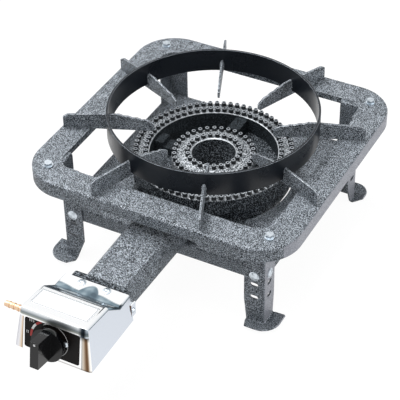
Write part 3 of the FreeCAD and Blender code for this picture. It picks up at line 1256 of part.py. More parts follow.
def make_leg_screws():
    """Eight screws that hold the legs to the tray's flanges."""
    return Part.makeCompound([
        domed_screw(seat, outward, LEG_SCREW_HEAD_RADIUS, LEG_SCREW_HEAD_HEIGHT, M6_RADIUS, LEG_SCREW_LENGTH)
        for seat, outward in leg_screw_seats()
    ])


def make_leg_nuts():
    """Eight nuts on the leg screws, inside the tray's flanges."""
    return Part.makeCompound([
        flanged_nut(seat - outward * (LEG_SHEET + TRAY_SHEET), outward * -1)
        for seat, outward in leg_screw_seats()
    ])


def make_burner_screws():
    """Four screws up through the straps into the burner's bosses."""
    screws = []
    for side_x, side_y in QUADRANTS:
        seat = Vector(side_x * BURNER_SCREW_OFFSET, side_y * STRAP_OFFSET, STRAP_LOW_TOP - STRAP_THICKNESS)
        head = hex_prism(M6_HEX, M6_HEAD_HEIGHT, seat, Z * -1)
        shank = Part.makeCylinder(M6_RADIUS, BURNER_SCREW_LENGTH, seat)
        screws.append(fuse_all([head, shank]))
    return Part.makeCompound(screws)


def box_screw(seat, outward):
    """A small domed screw of the control box."""
    return domed_screw(seat, outward, M4_HEAD_RADIUS, M4_HEAD_HEIGHT, M4_RADIUS, M4_LENGTH)


def make_panel_screws():
    """Two screws through the panel into the bracket."""
    return Part.makeCompound([
        box_screw(on_panel(0.0, side * PANEL_SCREW_OFFSET, PANEL_SCREW_LIFT), PANEL_NORMAL)
        for side in (-1, 1)
    ])


def make_cover_top_screws():
    """Two screws down through the cover's rear top into the bracket's shelf."""
    return Part.makeCompound([
        box_screw(Vector(side * BOX_SCREW_OFFSET, BOX_SCREW_Y, COLLAR_TOP), Z) for side in (-1, 1)
    ])


def make_cover_side_screws():
    """Two screws through the cover's ears into the bracket's tabs."""
    half = ear_half_width()
    return Part.makeCompound([
        box_screw(Vector(side * half, EAR_SCREW_Y, EAR_SCREW_Z), Vector(side, 0, 0)) for side in (-1, 1)
    ])


def make_bracket_screws():
    """Two screws through the bracket's plate into the collar."""
    seat_y = COLLAR_FRONT_Y - BRACKET_SHEET
    return Part.makeCompound([
        box_screw(Vector(side * BOX_SCREW_OFFSET, seat_y, bracket_screw_z()), Vector(0, -1, 0))
        for side in (-1, 1)
    ])


def all_nodes():
    """Every node of the object by its name."""
    leg = make_leg()
    nodes = {
        "top_frame": make_top_frame(),
        "leg_rear_right": leg,
        "leg_rear_left": mirrored_to(leg, -1, 1),
        "leg_front_left": mirrored_to(leg, -1, -1),
        "leg_front_right": mirrored_to(leg, 1, -1),
        "lower_tray": make_lower_tray(),
        "burner_strap_front": make_strap(-1),
        "burner_strap_rear": make_strap(1),
        "burner_body": make_burner_body(),
        "outer_port_ring": make_outer_port_ring(),
        "inner_port_ring": make_inner_port_ring(),
        "pot_ring": make_pot_ring(),
        "valve_cover": make_valve_cover(),
        "control_panel": make_control_panel(),
        "valve_bracket": make_valve_bracket(),
        "valve_body": make_valve_body(),
        "valve_bonnet": make_valve_bonnet(),
        "valve_plug": make_valve_plug(),
        "valve_stem": make_valve_stem(),
        "spring_seat": make_spring_seat(),
        "stem_spring": make_stem_spring(),
        "gas_jet": make_gas_jet(),
        "hose_barb": make_hose_barb(),
        "knob": make_knob(),
        "knob_pointer": pointer_disc(0.0),
        "corner_bolts": make_corner_bolts(),
        "corner_nuts": make_corner_nuts(),
        "leg_screws": make_leg_screws(),
        "leg_nuts": make_leg_nuts(),
        "burner_screws": make_burner_screws(),
        "panel_screws": make_panel_screws(),
        "cover_top_screws": make_cover_top_screws(),
        "cover_side_screws": make_cover_side_screws(),
        "bracket_screws": make_bracket_screws(),
    }
    for i in range(FIN_COUNT):
        nodes[f"pot_fin_{i + 1}"] = make_fin(i)
    return nodes


os.makedirs("parts", exist_ok=True)
for name, shape in all_nodes().items():
    shape.exportStep(f"parts/{name}.step")
    print(name, len(shape.Solids), shape.isValid(), round(shape.Volume), shape.BoundBox)
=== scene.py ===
import json
import logging
import math
from dataclasses import dataclass
from enum import Enum
from functools import partial
from itertools import product
from typing import Any, Callable, Iterable, Iterator, Sequence

import bmesh
import bpy
from mathutils import Matrix, Vector

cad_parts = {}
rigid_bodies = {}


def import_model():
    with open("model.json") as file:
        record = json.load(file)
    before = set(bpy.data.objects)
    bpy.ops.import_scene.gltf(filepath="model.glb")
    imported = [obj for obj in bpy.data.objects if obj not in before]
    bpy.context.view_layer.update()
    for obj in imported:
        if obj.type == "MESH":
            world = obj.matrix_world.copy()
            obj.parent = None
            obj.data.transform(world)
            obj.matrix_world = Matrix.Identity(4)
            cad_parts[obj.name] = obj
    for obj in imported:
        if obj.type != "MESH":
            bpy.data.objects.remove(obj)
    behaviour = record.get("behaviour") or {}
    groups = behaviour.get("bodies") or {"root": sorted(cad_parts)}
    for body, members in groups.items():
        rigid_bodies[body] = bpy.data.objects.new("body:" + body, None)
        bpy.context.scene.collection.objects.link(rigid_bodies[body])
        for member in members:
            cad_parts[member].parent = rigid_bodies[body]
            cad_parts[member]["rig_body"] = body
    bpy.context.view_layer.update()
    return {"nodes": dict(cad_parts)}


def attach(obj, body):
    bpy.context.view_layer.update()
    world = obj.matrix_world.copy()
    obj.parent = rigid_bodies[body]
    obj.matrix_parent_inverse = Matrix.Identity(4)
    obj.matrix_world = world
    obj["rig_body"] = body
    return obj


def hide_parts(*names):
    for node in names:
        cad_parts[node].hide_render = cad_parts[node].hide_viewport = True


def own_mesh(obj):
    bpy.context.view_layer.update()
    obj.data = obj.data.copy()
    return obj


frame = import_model()

LOG = logging.getLogger("burner_stand")
MM = 0.001
UP = Vector((0.0, 0.0, 1.0))
# The control panel leans back, and the knob's axis meets its face at right angles at the centre.
PANEL_TILT = math.radians(10.0)
PANEL_OUT = Vector((0.0, -math.cos(PANEL_TILT), math.sin(PANEL_TILT)))
PANEL_UP = Vector((0.0, math.sin(PANEL_TILT), math.cos(PANEL_TILT)))
KNOB_CENTRE = Vector((0.0, -0.4257, 0.136))


# Colour and material nodes

Tones = tuple[tuple[float, str], ...]

# Most of a noise's values lie in this range.
NOISE_RANGE = (0.3, 0.7)


def linear(hex_colour: str) -> tuple[float, float, float, float]:
    """Turn an sRGB hex colour to the linear colour that the shaders work in.

    Args:
        hex_colour: Six hex digits.

    Returns:
        The linear red, green and blue, and an alpha of 1.
    """
    values = [int(hex_colour[i:i + 2], 16) / 255.0 for i in (0, 2, 4)]
    lit = [v / 12.92 if v <= 0.04045 else ((v + 0.055) / 1.055) ** 2.4 for v in values]
    return (lit[0], lit[1], lit[2], 1.0)


def add_node(
    tree: bpy.types.NodeTree, kind: str, inputs: dict[str | int, Any] | Sequence[Any] = (),
    settings: dict[str, Any] | None = None, stops: Iterable[tuple[float, str]] = (),
) -> bpy.types.Node:
    """Add one node with its settings, input values and links.

    Args:
        tree: The node tree that gets the node.
        kind: The node's type name.
        inputs: What goes into each input, by its name or number or in their order: a value, a
            socket to link, or a node whose first output is linked.
        settings: Properties of the node itself.
        stops: A colour ramp's places from 0 to 1, each with its sRGB hex colour.

    Returns:
        The new node.
    """
    node = tree.nodes.new(kind)
    for name, value in (settings or {}).items():
        setattr(node, name, value)
    for name, value in inputs.items() if isinstance(inputs, dict) else enumerate(inputs):
        if isinstance(value, bpy.types.Node):
            value = value.outputs[0]
        if isinstance(value, bpy.types.NodeSocket):
            tree.links.new(value, node.inputs[name])
        else:
            node.inputs[name].default_value = value
    for number, (place, colour) in enumerate(stops):
        elements = node.color_ramp.elements
        if number >= 2:
            elements.new(1.0)
        elements[number].position = place
        elements[number].color = linear(colour)
    return node


@dataclass(frozen=True)
class Finish:
    """A surface finish, named for the real material and how its surface was made, or for the light
    or shade painted into it.
    """

    name: str
    slot: str

    def surface(self, tree: bpy.types.NodeTree, place: bpy.types.NodeSocket) -> bpy.types.Node:
        """Build the shader from object coordinates.

        Args:
            tree: The material's node tree.
            place: The object coordinates.

        Returns:
            The shader.
        """
        raise NotImplementedError

    def material(self) -> bpy.types.Material:
        """Give the material of this finish, which is made on the first call.

        Returns:
            The Blender material.
        """
        found = bpy.data.materials.get(self.name)
        if found:
            return found
        made = bpy.data.materials.new(self.name)
        made.use_nodes = True
        tree = made.node_tree
        tree.nodes.clear()
        place = add_node(tree, "ShaderNodeTexCoord").outputs["Object"]
        add_node(tree, "ShaderNodeOutputMaterial", {"Surface": self.surface(tree, place)})
        return made


@dataclass(frozen=True)
class SilverVeinPaint(Finish):
    """Stoved silver-vein powder paint: bright flake islands in a net of dark veins.

    The eye gets a salt-and-pepper grain that glitters where a lamp is mirrored.
    """

    island: str = "c8d0d9"
    middle: str = "5f666d"
    vein: str = "090b0d"
    grain_mm: float = 1.1
    drift_cells: float = 0.12
    drift: float = 0.025
    relief_mm: float = 0.8
    relief_strength: float = 0.55
    metallic: float = 0.08
    roughness: float = 0.40
    vein_dulling: float = 0.14
    island_shine: float = 0.06
    specular: float = 0.2
    vein_share: float = 0.51
    half_contrast: float = 0.13

    def surface(self, tree: bpy.types.NodeTree, place: bpy.types.NodeSocket) -> bpy.types.Node:
        """Build the paint: its net, the net's slow drift, its colours and orange-peel relief.

        Args:
            tree: The material's node tree.
            place: The object coordinates.

        Returns:
            The shader.
        """
        # The real net's cells measure under 1 mm. They are drawn at grain_mm, so that they show,
        # and drift_cells is how many of the slow drift's cells there are to one of the net's.
        fine = add_node(tree, "ShaderNodeTexNoise", {
            "Vector": place, "Scale": 1.0 / (self.grain_mm * MM), "Detail": 1.5, "Roughness": 0.5,
        })
        coarse = add_node(tree, "ShaderNodeTexNoise", {
            "Vector": place, "Scale": self.drift_cells / (self.grain_mm * MM), "Detail": 2.0,
        })
        drift = add_node(
            tree, "ShaderNodeMapRange", [coarse, *NOISE_RANGE, -self.drift, self.drift]
        )
        grain = add_node(tree, "ShaderNodeMath", [fine, drift], {"operation": "ADD"})
        low = self.vein_share - self.half_contrast
        high = self.vein_share + self.half_contrast
        dull, shiny = self.roughness + self.vein_dulling, self.roughness - self.island_shine
        colour = add_node(tree, "ShaderNodeValToRGB", [grain], stops=(
            (low, self.vein), (self.vein_share, self.middle), (high, self.island),
        ))
        gloss = add_node(tree, "ShaderNodeMapRange", [grain, low, high, dull, shiny])
        relief = add_node(tree, "ShaderNodeBump", {
            "Height": grain, "Strength": self.relief_strength, "Distance": self.relief_mm * MM,
        })
        return add_node(tree, "ShaderNodeBsdfPrincipled", {
            "Base Color": colour, "Metallic": self.metallic, "Roughness": gloss,
            "Specular IOR Level": self.specular, "Normal": relief,
        })


@dataclass(frozen=True)
class GlossEnamel(Finish):
    """Sprayed black enamel on steel: near black, with a soft uneven sheen and dust specks."""

    colour: str = "0d1219"
    dust: str = "1a2028"
    roughness: float = 0.30
    cloud_mm: float = 45.0
    speck_mm: float = 2.0
    peel_mm: float = 0.3
    peel: float = 0.12
    specular: float = 0.36
    dust_places: tuple[float, float] = (0.55, 0.85)
    gloss_change: tuple[float, float] = (-0.05, 0.07)

    def surface(self, tree: bpy.types.NodeTree, place: bpy.types.NodeSocket) -> bpy.types.Node:
        """Build the enamel with a cloudy gloss and faint orange peel.

        Args:
            tree: The material's node tree.
            place: The object coordinates.

        Returns:
            The shader.
        """
        cloud = add_node(tree, "ShaderNodeTexNoise", {
            "Vector": place, "Scale": 1.0 / (self.cloud_mm * MM), "Detail": 3.0,
        })
        speck = add_node(tree, "ShaderNodeTexNoise", {
            "Vector": place, "Scale": 1.0 / (self.speck_mm * MM), "Detail": 1.0,
        })
        stops = zip(self.dust_places, (self.colour, self.dust))
        colour = add_node(tree, "ShaderNodeValToRGB", [speck], stops=stops)
        shiny, dull = (self.roughness + change for change in self.gloss_change)
        gloss = add_node(tree, "ShaderNodeMapRange", [cloud, *NOISE_RANGE, shiny, dull])
        relief = add_node(tree, "ShaderNodeBump", {
            "Height": speck, "Strength": self.peel, "Distance": self.peel_mm * MM,
        })
        return add_node(tree, "ShaderNodeBsdfPrincipled", {
            "Base Color": colour, "Roughness": gloss, "IOR": 1.5,
            "Specular IOR Level": self.specular, "Normal": relief,
        })


@dataclass(frozen=True)
class BareMetal(Finish):
    """Bare or plated metal: one colour with a slight tarnish and a fine tooled relief."""

    colour: str
    tarnish: str
    roughness: float
    metallic: float = 1.0
    patch_mm: float = 12.0
    relief: float = 0.05
    relief_mm: float = 0.4
    tarnish_places: tuple[float, float] = (0.42, 0.75)
    gloss_change: tuple[float, float] = (-0.04, 0.08)

    def surface(self, tree: bpy.types.NodeTree, place: bpy.types.NodeSocket) -> bpy.types.Node:
        """Build the metal with cloudy tarnish patches.

        Args:
            tree: The material's node tree.
            place: The object coordinates.

        Returns:
            The shader.
        """
        patch = add_node(tree, "ShaderNodeTexNoise", {
            "Vector": place, "Scale": 1.0 / (self.patch_mm * MM), "Detail": 4.0,
        })
        stops = zip(self.tarnish_places, (self.colour, self.tarnish))
        colour = add_node(tree, "ShaderNodeValToRGB", [patch], stops=stops)
        shiny, dull = (self.roughness + change for change in self.gloss_change)
        gloss = add_node(tree, "ShaderNodeMapRange", [patch, *NOISE_RANGE, shiny, dull])
        relief = add_node(tree, "ShaderNodeBump", {
            "Height": patch, "Strength": self.relief, "Distance": self.relief_mm * MM,
        })
        return add_node(tree, "ShaderNodeBsdfPrincipled", {
            "Base Color": colour, "Metallic": self.metallic, "Roughness": gloss, "Normal": relief,
        })


@dataclass(frozen=True)
class MouldedPlastic(Finish):
    """Moulded plastic, lacquer or printed ink: an even colour with slow changes of gloss."""

    colour: str
    shade: str
    roughness: float
    specular: float = 0.5
    flow_mm: float = 9.0
    flow_places: tuple[float, float] = (0.35, 0.75)
    gloss_change: tuple[float, float] = (-0.03, 0.05)

    def surface(self, tree: bpy.types.NodeTree, place: bpy.types.NodeSocket) -> bpy.types.Node:
        """Build the plastic with faint flow marks.

        Args:
            tree: The material's node tree.
            place: The object coordinates.

        Returns:
            The shader.
        """
        flow = add_node(tree, "ShaderNodeTexNoise", {
            "Vector": place, "Scale": 1.0 / (self.flow_mm * MM), "Detail": 2.0,
        })
        stops = zip(self.flow_places, (self.colour, self.shade))
        colour = add_node(tree, "ShaderNodeValToRGB", [flow], stops=stops)
        shiny, dull = (self.roughness + change for change in self.gloss_change)
        gloss = add_node(tree, "ShaderNodeMapRange", [flow, *NOISE_RANGE, shiny, dull])
        return add_node(tree, "ShaderNodeBsdfPrincipled", {
            "Base Color": colour, "Roughness": gloss, "IOR": 1.49,
            "Specular IOR Level": self.specular,
        })


@dataclass(frozen=True)
class PolishedSheet(Finish):
    """Chromed and polished sheet, pressed to shape.

    The eye gets a mirror that is white on its flats. The roundings and the slope behind the plate
    carry painted reflections: grey, blue and brown tones laid into the base colour by the way each
    face turns and by its place, clouded on the slope. Heights and places are in millimetres, as on
    the cover itself.
    """

    roughness: float = 0.13
    front_roughness: float = 0.34
    side_facing: tuple[float, float] = (0.2, 0.5)
    upward: tuple[float, float] = (0.35, 0.6)
    front_facing: tuple[float, float] = (-0.5, -0.3)
    slope_front: float = -372.0
    slope_rear: float = -338.5
    slope_top: float = 164.2
    slope_blend: float = 3.0
    blur: float = 1.2
    seam_blur: float = 1.0
    bump_height: float = 13.0
    bump_half: float = 13.0
    bump_middle: float = -1.0
    wave_height: float = 2.0
    wave_turn: float = 0.11
    cloud: float = 16.0
    strip_low: float = 157.7
    strip_high: float = 168.5
    pillar_low: float = 109.0
    pillar_high: float = 160.0
    corner_left: float = 36.0
    corner_right: float = 50.0
    edge_top: float = 170.0
    panel_half: float = 39.6
    right_edge: tuple[float, float] = (48.8, 0.119)
    left_edge: tuple[float, float] = (44.1, 0.151)
    # Painted reflections: each list of tones is laid into the chrome's base colour by facing or
    # place.
    top_painted_reflection: Tones = (
        (0.25, "f4f6f8"), (0.36, "6c747c"), (0.50, "a3abb3"), (0.72, "dfe4e8"),
        (0.93, "f3f6f8"), (0.99, "fafbfc"),
    )
    side_painted_reflection: Tones = (
        (0.10, "d2d8e1"), (0.20, "fbfcfd"), (0.27, "33404c"), (0.50, "75828e"),
        (0.78, "dde3e8"), (0.97, "fafbfc"),
    )
    slope_painted_reflection: Tones = (
        (0.30, "5c6c77"), (0.48, "7d909b"), (0.62, "a3b3bc"), (0.75, "c3ced5"),
    )
    strip_painted_reflection: Tones = (
        (0.0, "fbfbfb"), (0.13, "f4f5f6"), (0.22, "9fa39c"), (0.50, "7d8589"),
        (0.78, "c6cbcf"), (1.0, "eef1f3"),
    )
    strip_end_painted_reflection: Tones = (
        (0.0, "ffffff"), (0.35, "39424c"), (0.62, "1d242c"), (0.85, "c4ccd4"),
    )
    right_pillar_painted_reflection: Tones = (
        (0.0, "ffffff"), (0.16, "f4f4f4"), (0.21, "3a3532"), (0.27, "d8d2c8"), (0.42, "bcac9a"),
        (0.60, "7d634b"), (0.73, "5f4430"), (0.84, "9d8770"), (0.92, "f4f1ec"), (1.0, "fbfaf8"),
    )
    right_pillar_end_painted_reflection: Tones = (
        (0.0, "4a3a2c"), (0.07, "ffffff"), (0.82, "ffffff"), (0.96, "2a323c"),
    )
    left_pillar_painted_reflection: Tones = (
        (0.0, "ffffff"), (0.16, "f6f6f6"), (0.21, "5a5048"), (0.28, "c9ad8c"),
        (0.45, "e2d6c8"), (0.65, "e4e4e8"), (0.90, "d3d3d8"), (1.0, "c8c8ce"),
    )

    def surface(self, tree: bpy.types.NodeTree, place: bpy.types.NodeSocket) -> bpy.types.Node:
        """Build the mirror, with painted reflection tones by the way each part faces and by its
        place.

        Args:
            tree: The material's node tree.
            place: The object coordinates.

        Returns:
            The shader.
        """
        geometry = add_node(tree, "ShaderNodeNewGeometry")
        facing = add_node(tree, "ShaderNodeSeparateXYZ", [geometry.outputs["Normal"]]).outputs
        spot = add_node(tree, "ShaderNodeSeparateXYZ", [place]).outputs
        turned = add_node(tree, "ShaderNodeMath", [facing["X"]], {"operation": "ABSOLUTE"})
        sideways = add_node(tree, "ShaderNodeMapRange", [turned, *self.side_facing, 0.0, 1.0])
        ahead = add_node(tree, "ShaderNodeMapRange", [facing["Y"], *self.front_facing, 1.0, 0.0])
        clouds = add_node(tree, "ShaderNodeTexNoise", {
            "Vector": place, "Scale": 1.0 / (self.cloud * MM), "Detail": 1.5,
        })
        tone = add_node(tree, "ShaderNodeValToRGB", [facing["Z"]], stops=self.top_painted_reflection).outputs[0]
        layers = (
            (sideways, add_node(tree, "ShaderNodeValToRGB", [facing["Z"]], stops=self.side_painted_reflection)),
            (
                self.slope_share(tree, facing, spot),
                add_node(tree, "ShaderNodeValToRGB", [clouds], stops=self.slope_painted_reflection),
            ),
            (ahead, self.front_tone(tree, spot)),
        )
        for share, layer in layers:
            tone = add_node(
                tree, "ShaderNodeMix", {0: share, 6: tone, 7: layer}, {"data_type": "RGBA"}
            ).outputs[2]
        gloss = add_node(
            tree, "ShaderNodeMapRange", [ahead, 0.0, 1.0, self.roughness, self.front_roughness]
        )
        return add_node(tree, "ShaderNodeBsdfPrincipled", {
            "Base Color": tone, "Metallic": 1.0, "Roughness": gloss,
        })

    def slope_share(
        self, tree: bpy.types.NodeTree, facing: Any, spot: Any
    ) -> bpy.types.Node:
        """Give 1 on the slope behind the plate and on the shelf's front, which take the painted
        blue-grey reflection.

        Args:
            tree: The node tree.
            facing: The separated normal.
            spot: The separated object coordinates.

        Returns:
            The node that gives the share. Its rear edge waves and bulges between the screws.
        """
        bump = edge = spot["X"]
        for operation, number in (
            ("SUBTRACT", self.bump_middle * MM), ("DIVIDE", self.bump_half * MM), ("POWER", 2.0),
            ("MULTIPLY", -self.bump_height * MM), ("ADD", self.bump_height * MM),
            ("MAXIMUM", 0.0),
        ):
            bump = add_node(tree, "ShaderNodeMath", [bump, number], {"operation": operation})
        for operation, value in (
            ("MULTIPLY", self.wave_turn / MM), ("SINE", 0.0), ("MULTIPLY", self.wave_height * MM),
            ("ADD", self.slope_rear * MM), ("ADD", bump),
        ):
            edge = add_node(tree, "ShaderNodeMath", [edge, value], {"operation": operation})
        past = add_node(tree, "ShaderNodeMath", [spot["Y"], edge], {"operation": "SUBTRACT"})
        start = (self.slope_front - self.slope_blend) * MM
        share = 1.0
        for values in (
            (past, -self.blur * MM, self.blur * MM, 1.0, 0.0),
            (spot["Z"], (self.slope_top - self.blur) * MM, self.slope_top * MM, 1.0, 0.0),
            (facing["Z"], *self.upward, 0.0, 1.0),
            (spot["Y"], start, self.slope_front * MM, 0.0, 1.0),
        ):
            factor = add_node(tree, "ShaderNodeMapRange", values)
            share = add_node(tree, "ShaderNodeMath", [share, factor], {"operation": "MULTIPLY"})
        return share

    def front_tone(self, tree: bpy.types.NodeTree, spot: Any) -> bpy.types.NodeSocket:
        """Give the painted reflection tones of the strip above the panel and of the two pillars
        beside it.

        Args:
            tree: The node tree.
            spot: The separated object coordinates.

        Returns:
            The tone's socket.
        """
        tones = {}
        for name, axis, low, high, stops in (
            ("strip", "Z", self.strip_low, self.strip_high, self.strip_painted_reflection),
            ("strip end", "X", self.corner_left, self.corner_right, self.strip_end_painted_reflection),
            ("pillar end", "Z", self.pillar_low, self.pillar_high, self.right_pillar_end_painted_reflection),
        ):
            along = add_node(
                tree, "ShaderNodeMapRange", [spot[axis], low * MM, high * MM, 0.0, 1.0]
            )
            tones[name] = add_node(tree, "ShaderNodeValToRGB", [along], stops=stops)
        for name, side, edge, stops in (
            ("right", 1.0, self.right_edge, self.right_pillar_painted_reflection),
            ("left", -1.0, self.left_edge, self.left_pillar_painted_reflection),
        ):
            across = self.across_pillar(tree, spot, side, edge)
            tones[name] = add_node(tree, "ShaderNodeValToRGB", [across], stops=stops)
        seam = self.seam_blur * MM
        on_right = add_node(tree, "ShaderNodeMapRange", [spot["X"], -seam, seam, 0.0, 1.0])
        low, high = self.strip_low * MM - seam, self.strip_low * MM
        above = add_node(tree, "ShaderNodeMapRange", [spot["Z"], low, high, 0.0, 1.0])
        for result, share, first, second, way in (
            ("right", 1.0, "right", "pillar end", "MULTIPLY"),
            ("strip", 1.0, "strip", "strip end", "MULTIPLY"),
            ("pillars", on_right, "left", "right", "MIX"),
            ("front", above, "pillars", "strip", "MIX"),
        ):
            tones[result] = add_node(
                tree, "ShaderNodeMix", {0: share, 6: tones[first], 7: tones[second]},
                {"data_type": "RGBA", "blend_type": way},
            ).outputs[2]
        return tones["front"]

    def across_pillar(
        self, tree: bpy.types.NodeTree, spot: Any, side: float, edge: tuple[float, float]
    ) -> bpy.types.Node:
        """Give 0 beside the panel and 1 at the cover's outer edge, whatever the height.

        Args:
            tree: The node tree.
            spot: The separated object coordinates.
            side: 1 for the right pillar and -1 for the left.
            edge: The outer edge's distance from the middle at the top, and its growth downwards.

        Returns:
            The node that gives the share.
        """
        height = add_node(
            tree, "ShaderNodeMath", [self.edge_top * MM, spot["Z"]], {"operation": "SUBTRACT"}
        )
        width = add_node(
            tree, "ShaderNodeMath", [height, edge[1], (edge[0] - self.panel_half) * MM],
            {"operation": "MULTIPLY_ADD"},
        )
        inside = add_node(
            tree, "ShaderNodeMath", [spot["X"], side, -self.panel_half * MM],
            {"operation": "MULTIPLY_ADD"},
        )
        return add_node(tree, "ShaderNodeMath", [inside, width], {"operation": "DIVIDE"})


# The pressed sheet's paint: bright islands and dark veins in even parts.
PAINT = SilverVeinPaint("silver_vein_powder_paint", "silver_vein_paint")
# The same paint on faces to the right, with a painted sheen: lighter, lower in contrast and with
# less relief, a smooth lavender grey.
RIGHT_SIDE_SHEEN_PAINT = SilverVeinPaint(
    "silver_vein_paint_with_painted_sheen", "silver_vein_paint", island="b7b9c2", middle="a2a5ae",
    vein="84878f", relief_mm=0.32, roughness=0.35,
)
# Painted highlight on the roundings of sharp edges: a bright line along every sheet.
EDGE_HIGHLIGHT_PAINT = SilverVeinPaint(
    "silver_vein_paint_painted_edge_highlight", "silver_vein_paint", island="d5dbe1", middle="a4abb2",
    vein="4a5056", metallic=0.45, roughness=0.34, relief_mm=0.4,
)
# Paint on the sand-cast bowl: a coarser and rougher net.
CASTING_PAINT = SilverVeinPaint(
    "silver_vein_paint_on_casting", "silver_vein_paint", island="a4abb1", middle="4b5157",
    vein="0b0d0f", grain_mm=1.8, relief_mm=1.6, vein_share=0.53, specular=0.14,
)
# The paint darkened as painted shade on the bowl's wall, in the funnel, on the duct's collar and on
# the rings' skirts: nearly black, few flakes.
SHADE_DARKENED_PAINT = SilverVeinPaint(
    "silver_vein_paint_darkened_as_painted_shade", "silver_vein_paint", island="8f969d", middle="343a40",
    vein="08090a", grain_mm=1.6, relief_mm=1.6, vein_share=0.53, specular=0.10,
)
# Painted shade between the rings: dull and dark, with a net of low contrast.
GAP_PAINTED_SHADE = SilverVeinPaint(
    "painted_shade_in_burner_gap", "silver_vein_paint", island="434a50", middle="22272b",
    vein="0c0e10", grain_mm=1.6, roughness=0.55, half_contrast=0.18, metallic=0.0, specular=0.12,
)
# The caps' bare sand-cast tops: sparkling crests over black pits.
PORT_CASTING = SilverVeinPaint(
    "cast_iron_port_ring", "port_iron", island="dde2e7", middle="878d93", vein="15181b",
    grain_mm=1.8, relief_mm=2.4, vein_share=0.50, roughness=0.38, metallic=0.25,
)
# Painted highlight on the caps' inner edges: broken bright lines.
PORT_LIP_HIGHLIGHT = BareMetal(
    "painted_highlight_on_cast_lip", "port_iron", "d6dbe0", "8b9096", 0.38, metallic=0.7, patch_mm=2.4,
)
# Painted highlight on the nipples' tips: small bright rings.
NIPPLE_RIM_HIGHLIGHT = BareMetal(
    "painted_highlight_on_nipple_rim", "port_iron", "c3c9cf", "8f959b", 0.36, metallic=0.7, patch_mm=4.0,
)
# Painted shade on the nipples' flanks, which sets each of them off.
NIPPLE_SIDE_SHADE = BareMetal(
    "painted_shade_on_nipple_side", "port_iron", "26292d", "131517", 0.5, metallic=0.2, patch_mm=4.0,
)
# Painted shade in the nipples' bores: black points.
NIPPLE_BORE_SHADE = MouldedPlastic("painted_shade_in_nipple_bore", "port_iron", "050505", "0b0b0c", 0.8)
# The hoop: blue-black, with a soft window of light on its curve.
RING_ENAMEL = GlossEnamel("black_enamel_on_steel", "ring_black")
# The hoop's rounded edges: a thin grey outline, lighter than the enamel.
RING_EDGE = BareMetal(
    "grey_outline_on_ring_edge", "ring_black", "a9b2bc", "707a84", 0.3, metallic=0.6, patch_mm=9.0,
)
# The valve cover's chrome: a mirror, white on its flats, with painted reflections in grey, blue and
# brown elsewhere.
COVER_CHROME = PolishedSheet("chrome_with_painted_reflections", "bright_cover")
# The blank plate: plain white, a little warmer and duller than the chrome round it.
NAMEPLATE_WHITE = MouldedPlastic("white_lacquered_plate", "bright_cover", "f6f7f8", "eff1f3", 0.3)
# The plate's printed outline: one thin grey line.
PLATE_LINE = MouldedPlastic("grey_printed_line", "bright_cover", "7f858c", "8b9198", 0.4)
# The panel's lacquer: flat black with hardly a reflection.
PANEL_BLACK = MouldedPlastic(
    "black_lacquered_panel", "panel_black", "0d0b0b", "161210", 0.4, specular=0.12,
)
# The knob's phenolic: deep black with clear reflections.
KNOB_BLACK = MouldedPlastic(
    "glossy_black_phenolic", "knob_black", "040507", "0a0b0e", 0.15, specular=0.42,
)
# The knob's rounded edges: thin grey lines of light.
KNOB_EDGE = MouldedPlastic(
    "phenolic_edge_sheen", "knob_black", "3b4047", "23272d", 0.22, specular=0.5,
)
# Printed marks and the knob's dot: flat white, and a dark signal red.
INK_WHITE = MouldedPlastic("white_screen_ink", "pointer_white", "f2f2f2", "dcdcdc", 0.45)
INK_RED = MouldedPlastic("red_screen_ink", "pointer_white", "b02a28", "9c2322", 0.45)
# Zinc plating on bolts and screws: a pale mirror with grey patches.
ZINC = BareMetal("zinc_plated_steel", "zinc_fastener", "d3dbe2", "8f989f", 0.27, patch_mm=4.0)
# The screws' recesses: dark points.
SCREW_RECESS = BareMetal("shadowed_screw_recess", "zinc_fastener", "1c2024", "101316", 0.6)
# The bracket's zinc sheet: duller and greyer than the fasteners.
ZINC_SHEET = BareMetal("zinc_plated_sheet", "zinc_sheet", "b9bfc4", "8f959b", 0.32)
# The turned valve: warm and bright.
BRASS = BareMetal("turned_brass", "brass", "e2bd92", "c79f72", 0.24, patch_mm=6.0)
# The tumbled barb: a paler, pinkish tan.
BARB_BRASS = BareMetal("barrelled_brass", "brass", "e8c9aa", "cda684", 0.38, patch_mm=6.0)
# The drawn stem and spring: plain grey.
STEEL = BareMetal("drawn_steel", "steel", "b4b6b8", "85888b", 0.3)


# Mesh work

# Edges that turn more than this, in degrees, are rounded.
SHARP_TURN = 38.0
# Faces that turn less than this, in degrees, are one flat face.
FLAT_TURN = 1.0
# Points nearer than this, in metres, are one: in a CAD node's loose triangles and in a turned shape.
TRIANGLE_SEAM = 2e-6
TURNED_SEAM = 1e-6


def body_of(node: str) -> str:
    """Give the name of the body that carries a CAD node."""
    return frame["nodes"][node]["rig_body"]


def radius_of(place: Vector) -> float:
    """Give a place's distance from the upright axis, in millimetres."""
    return math.hypot(place.x, place.y) / MM


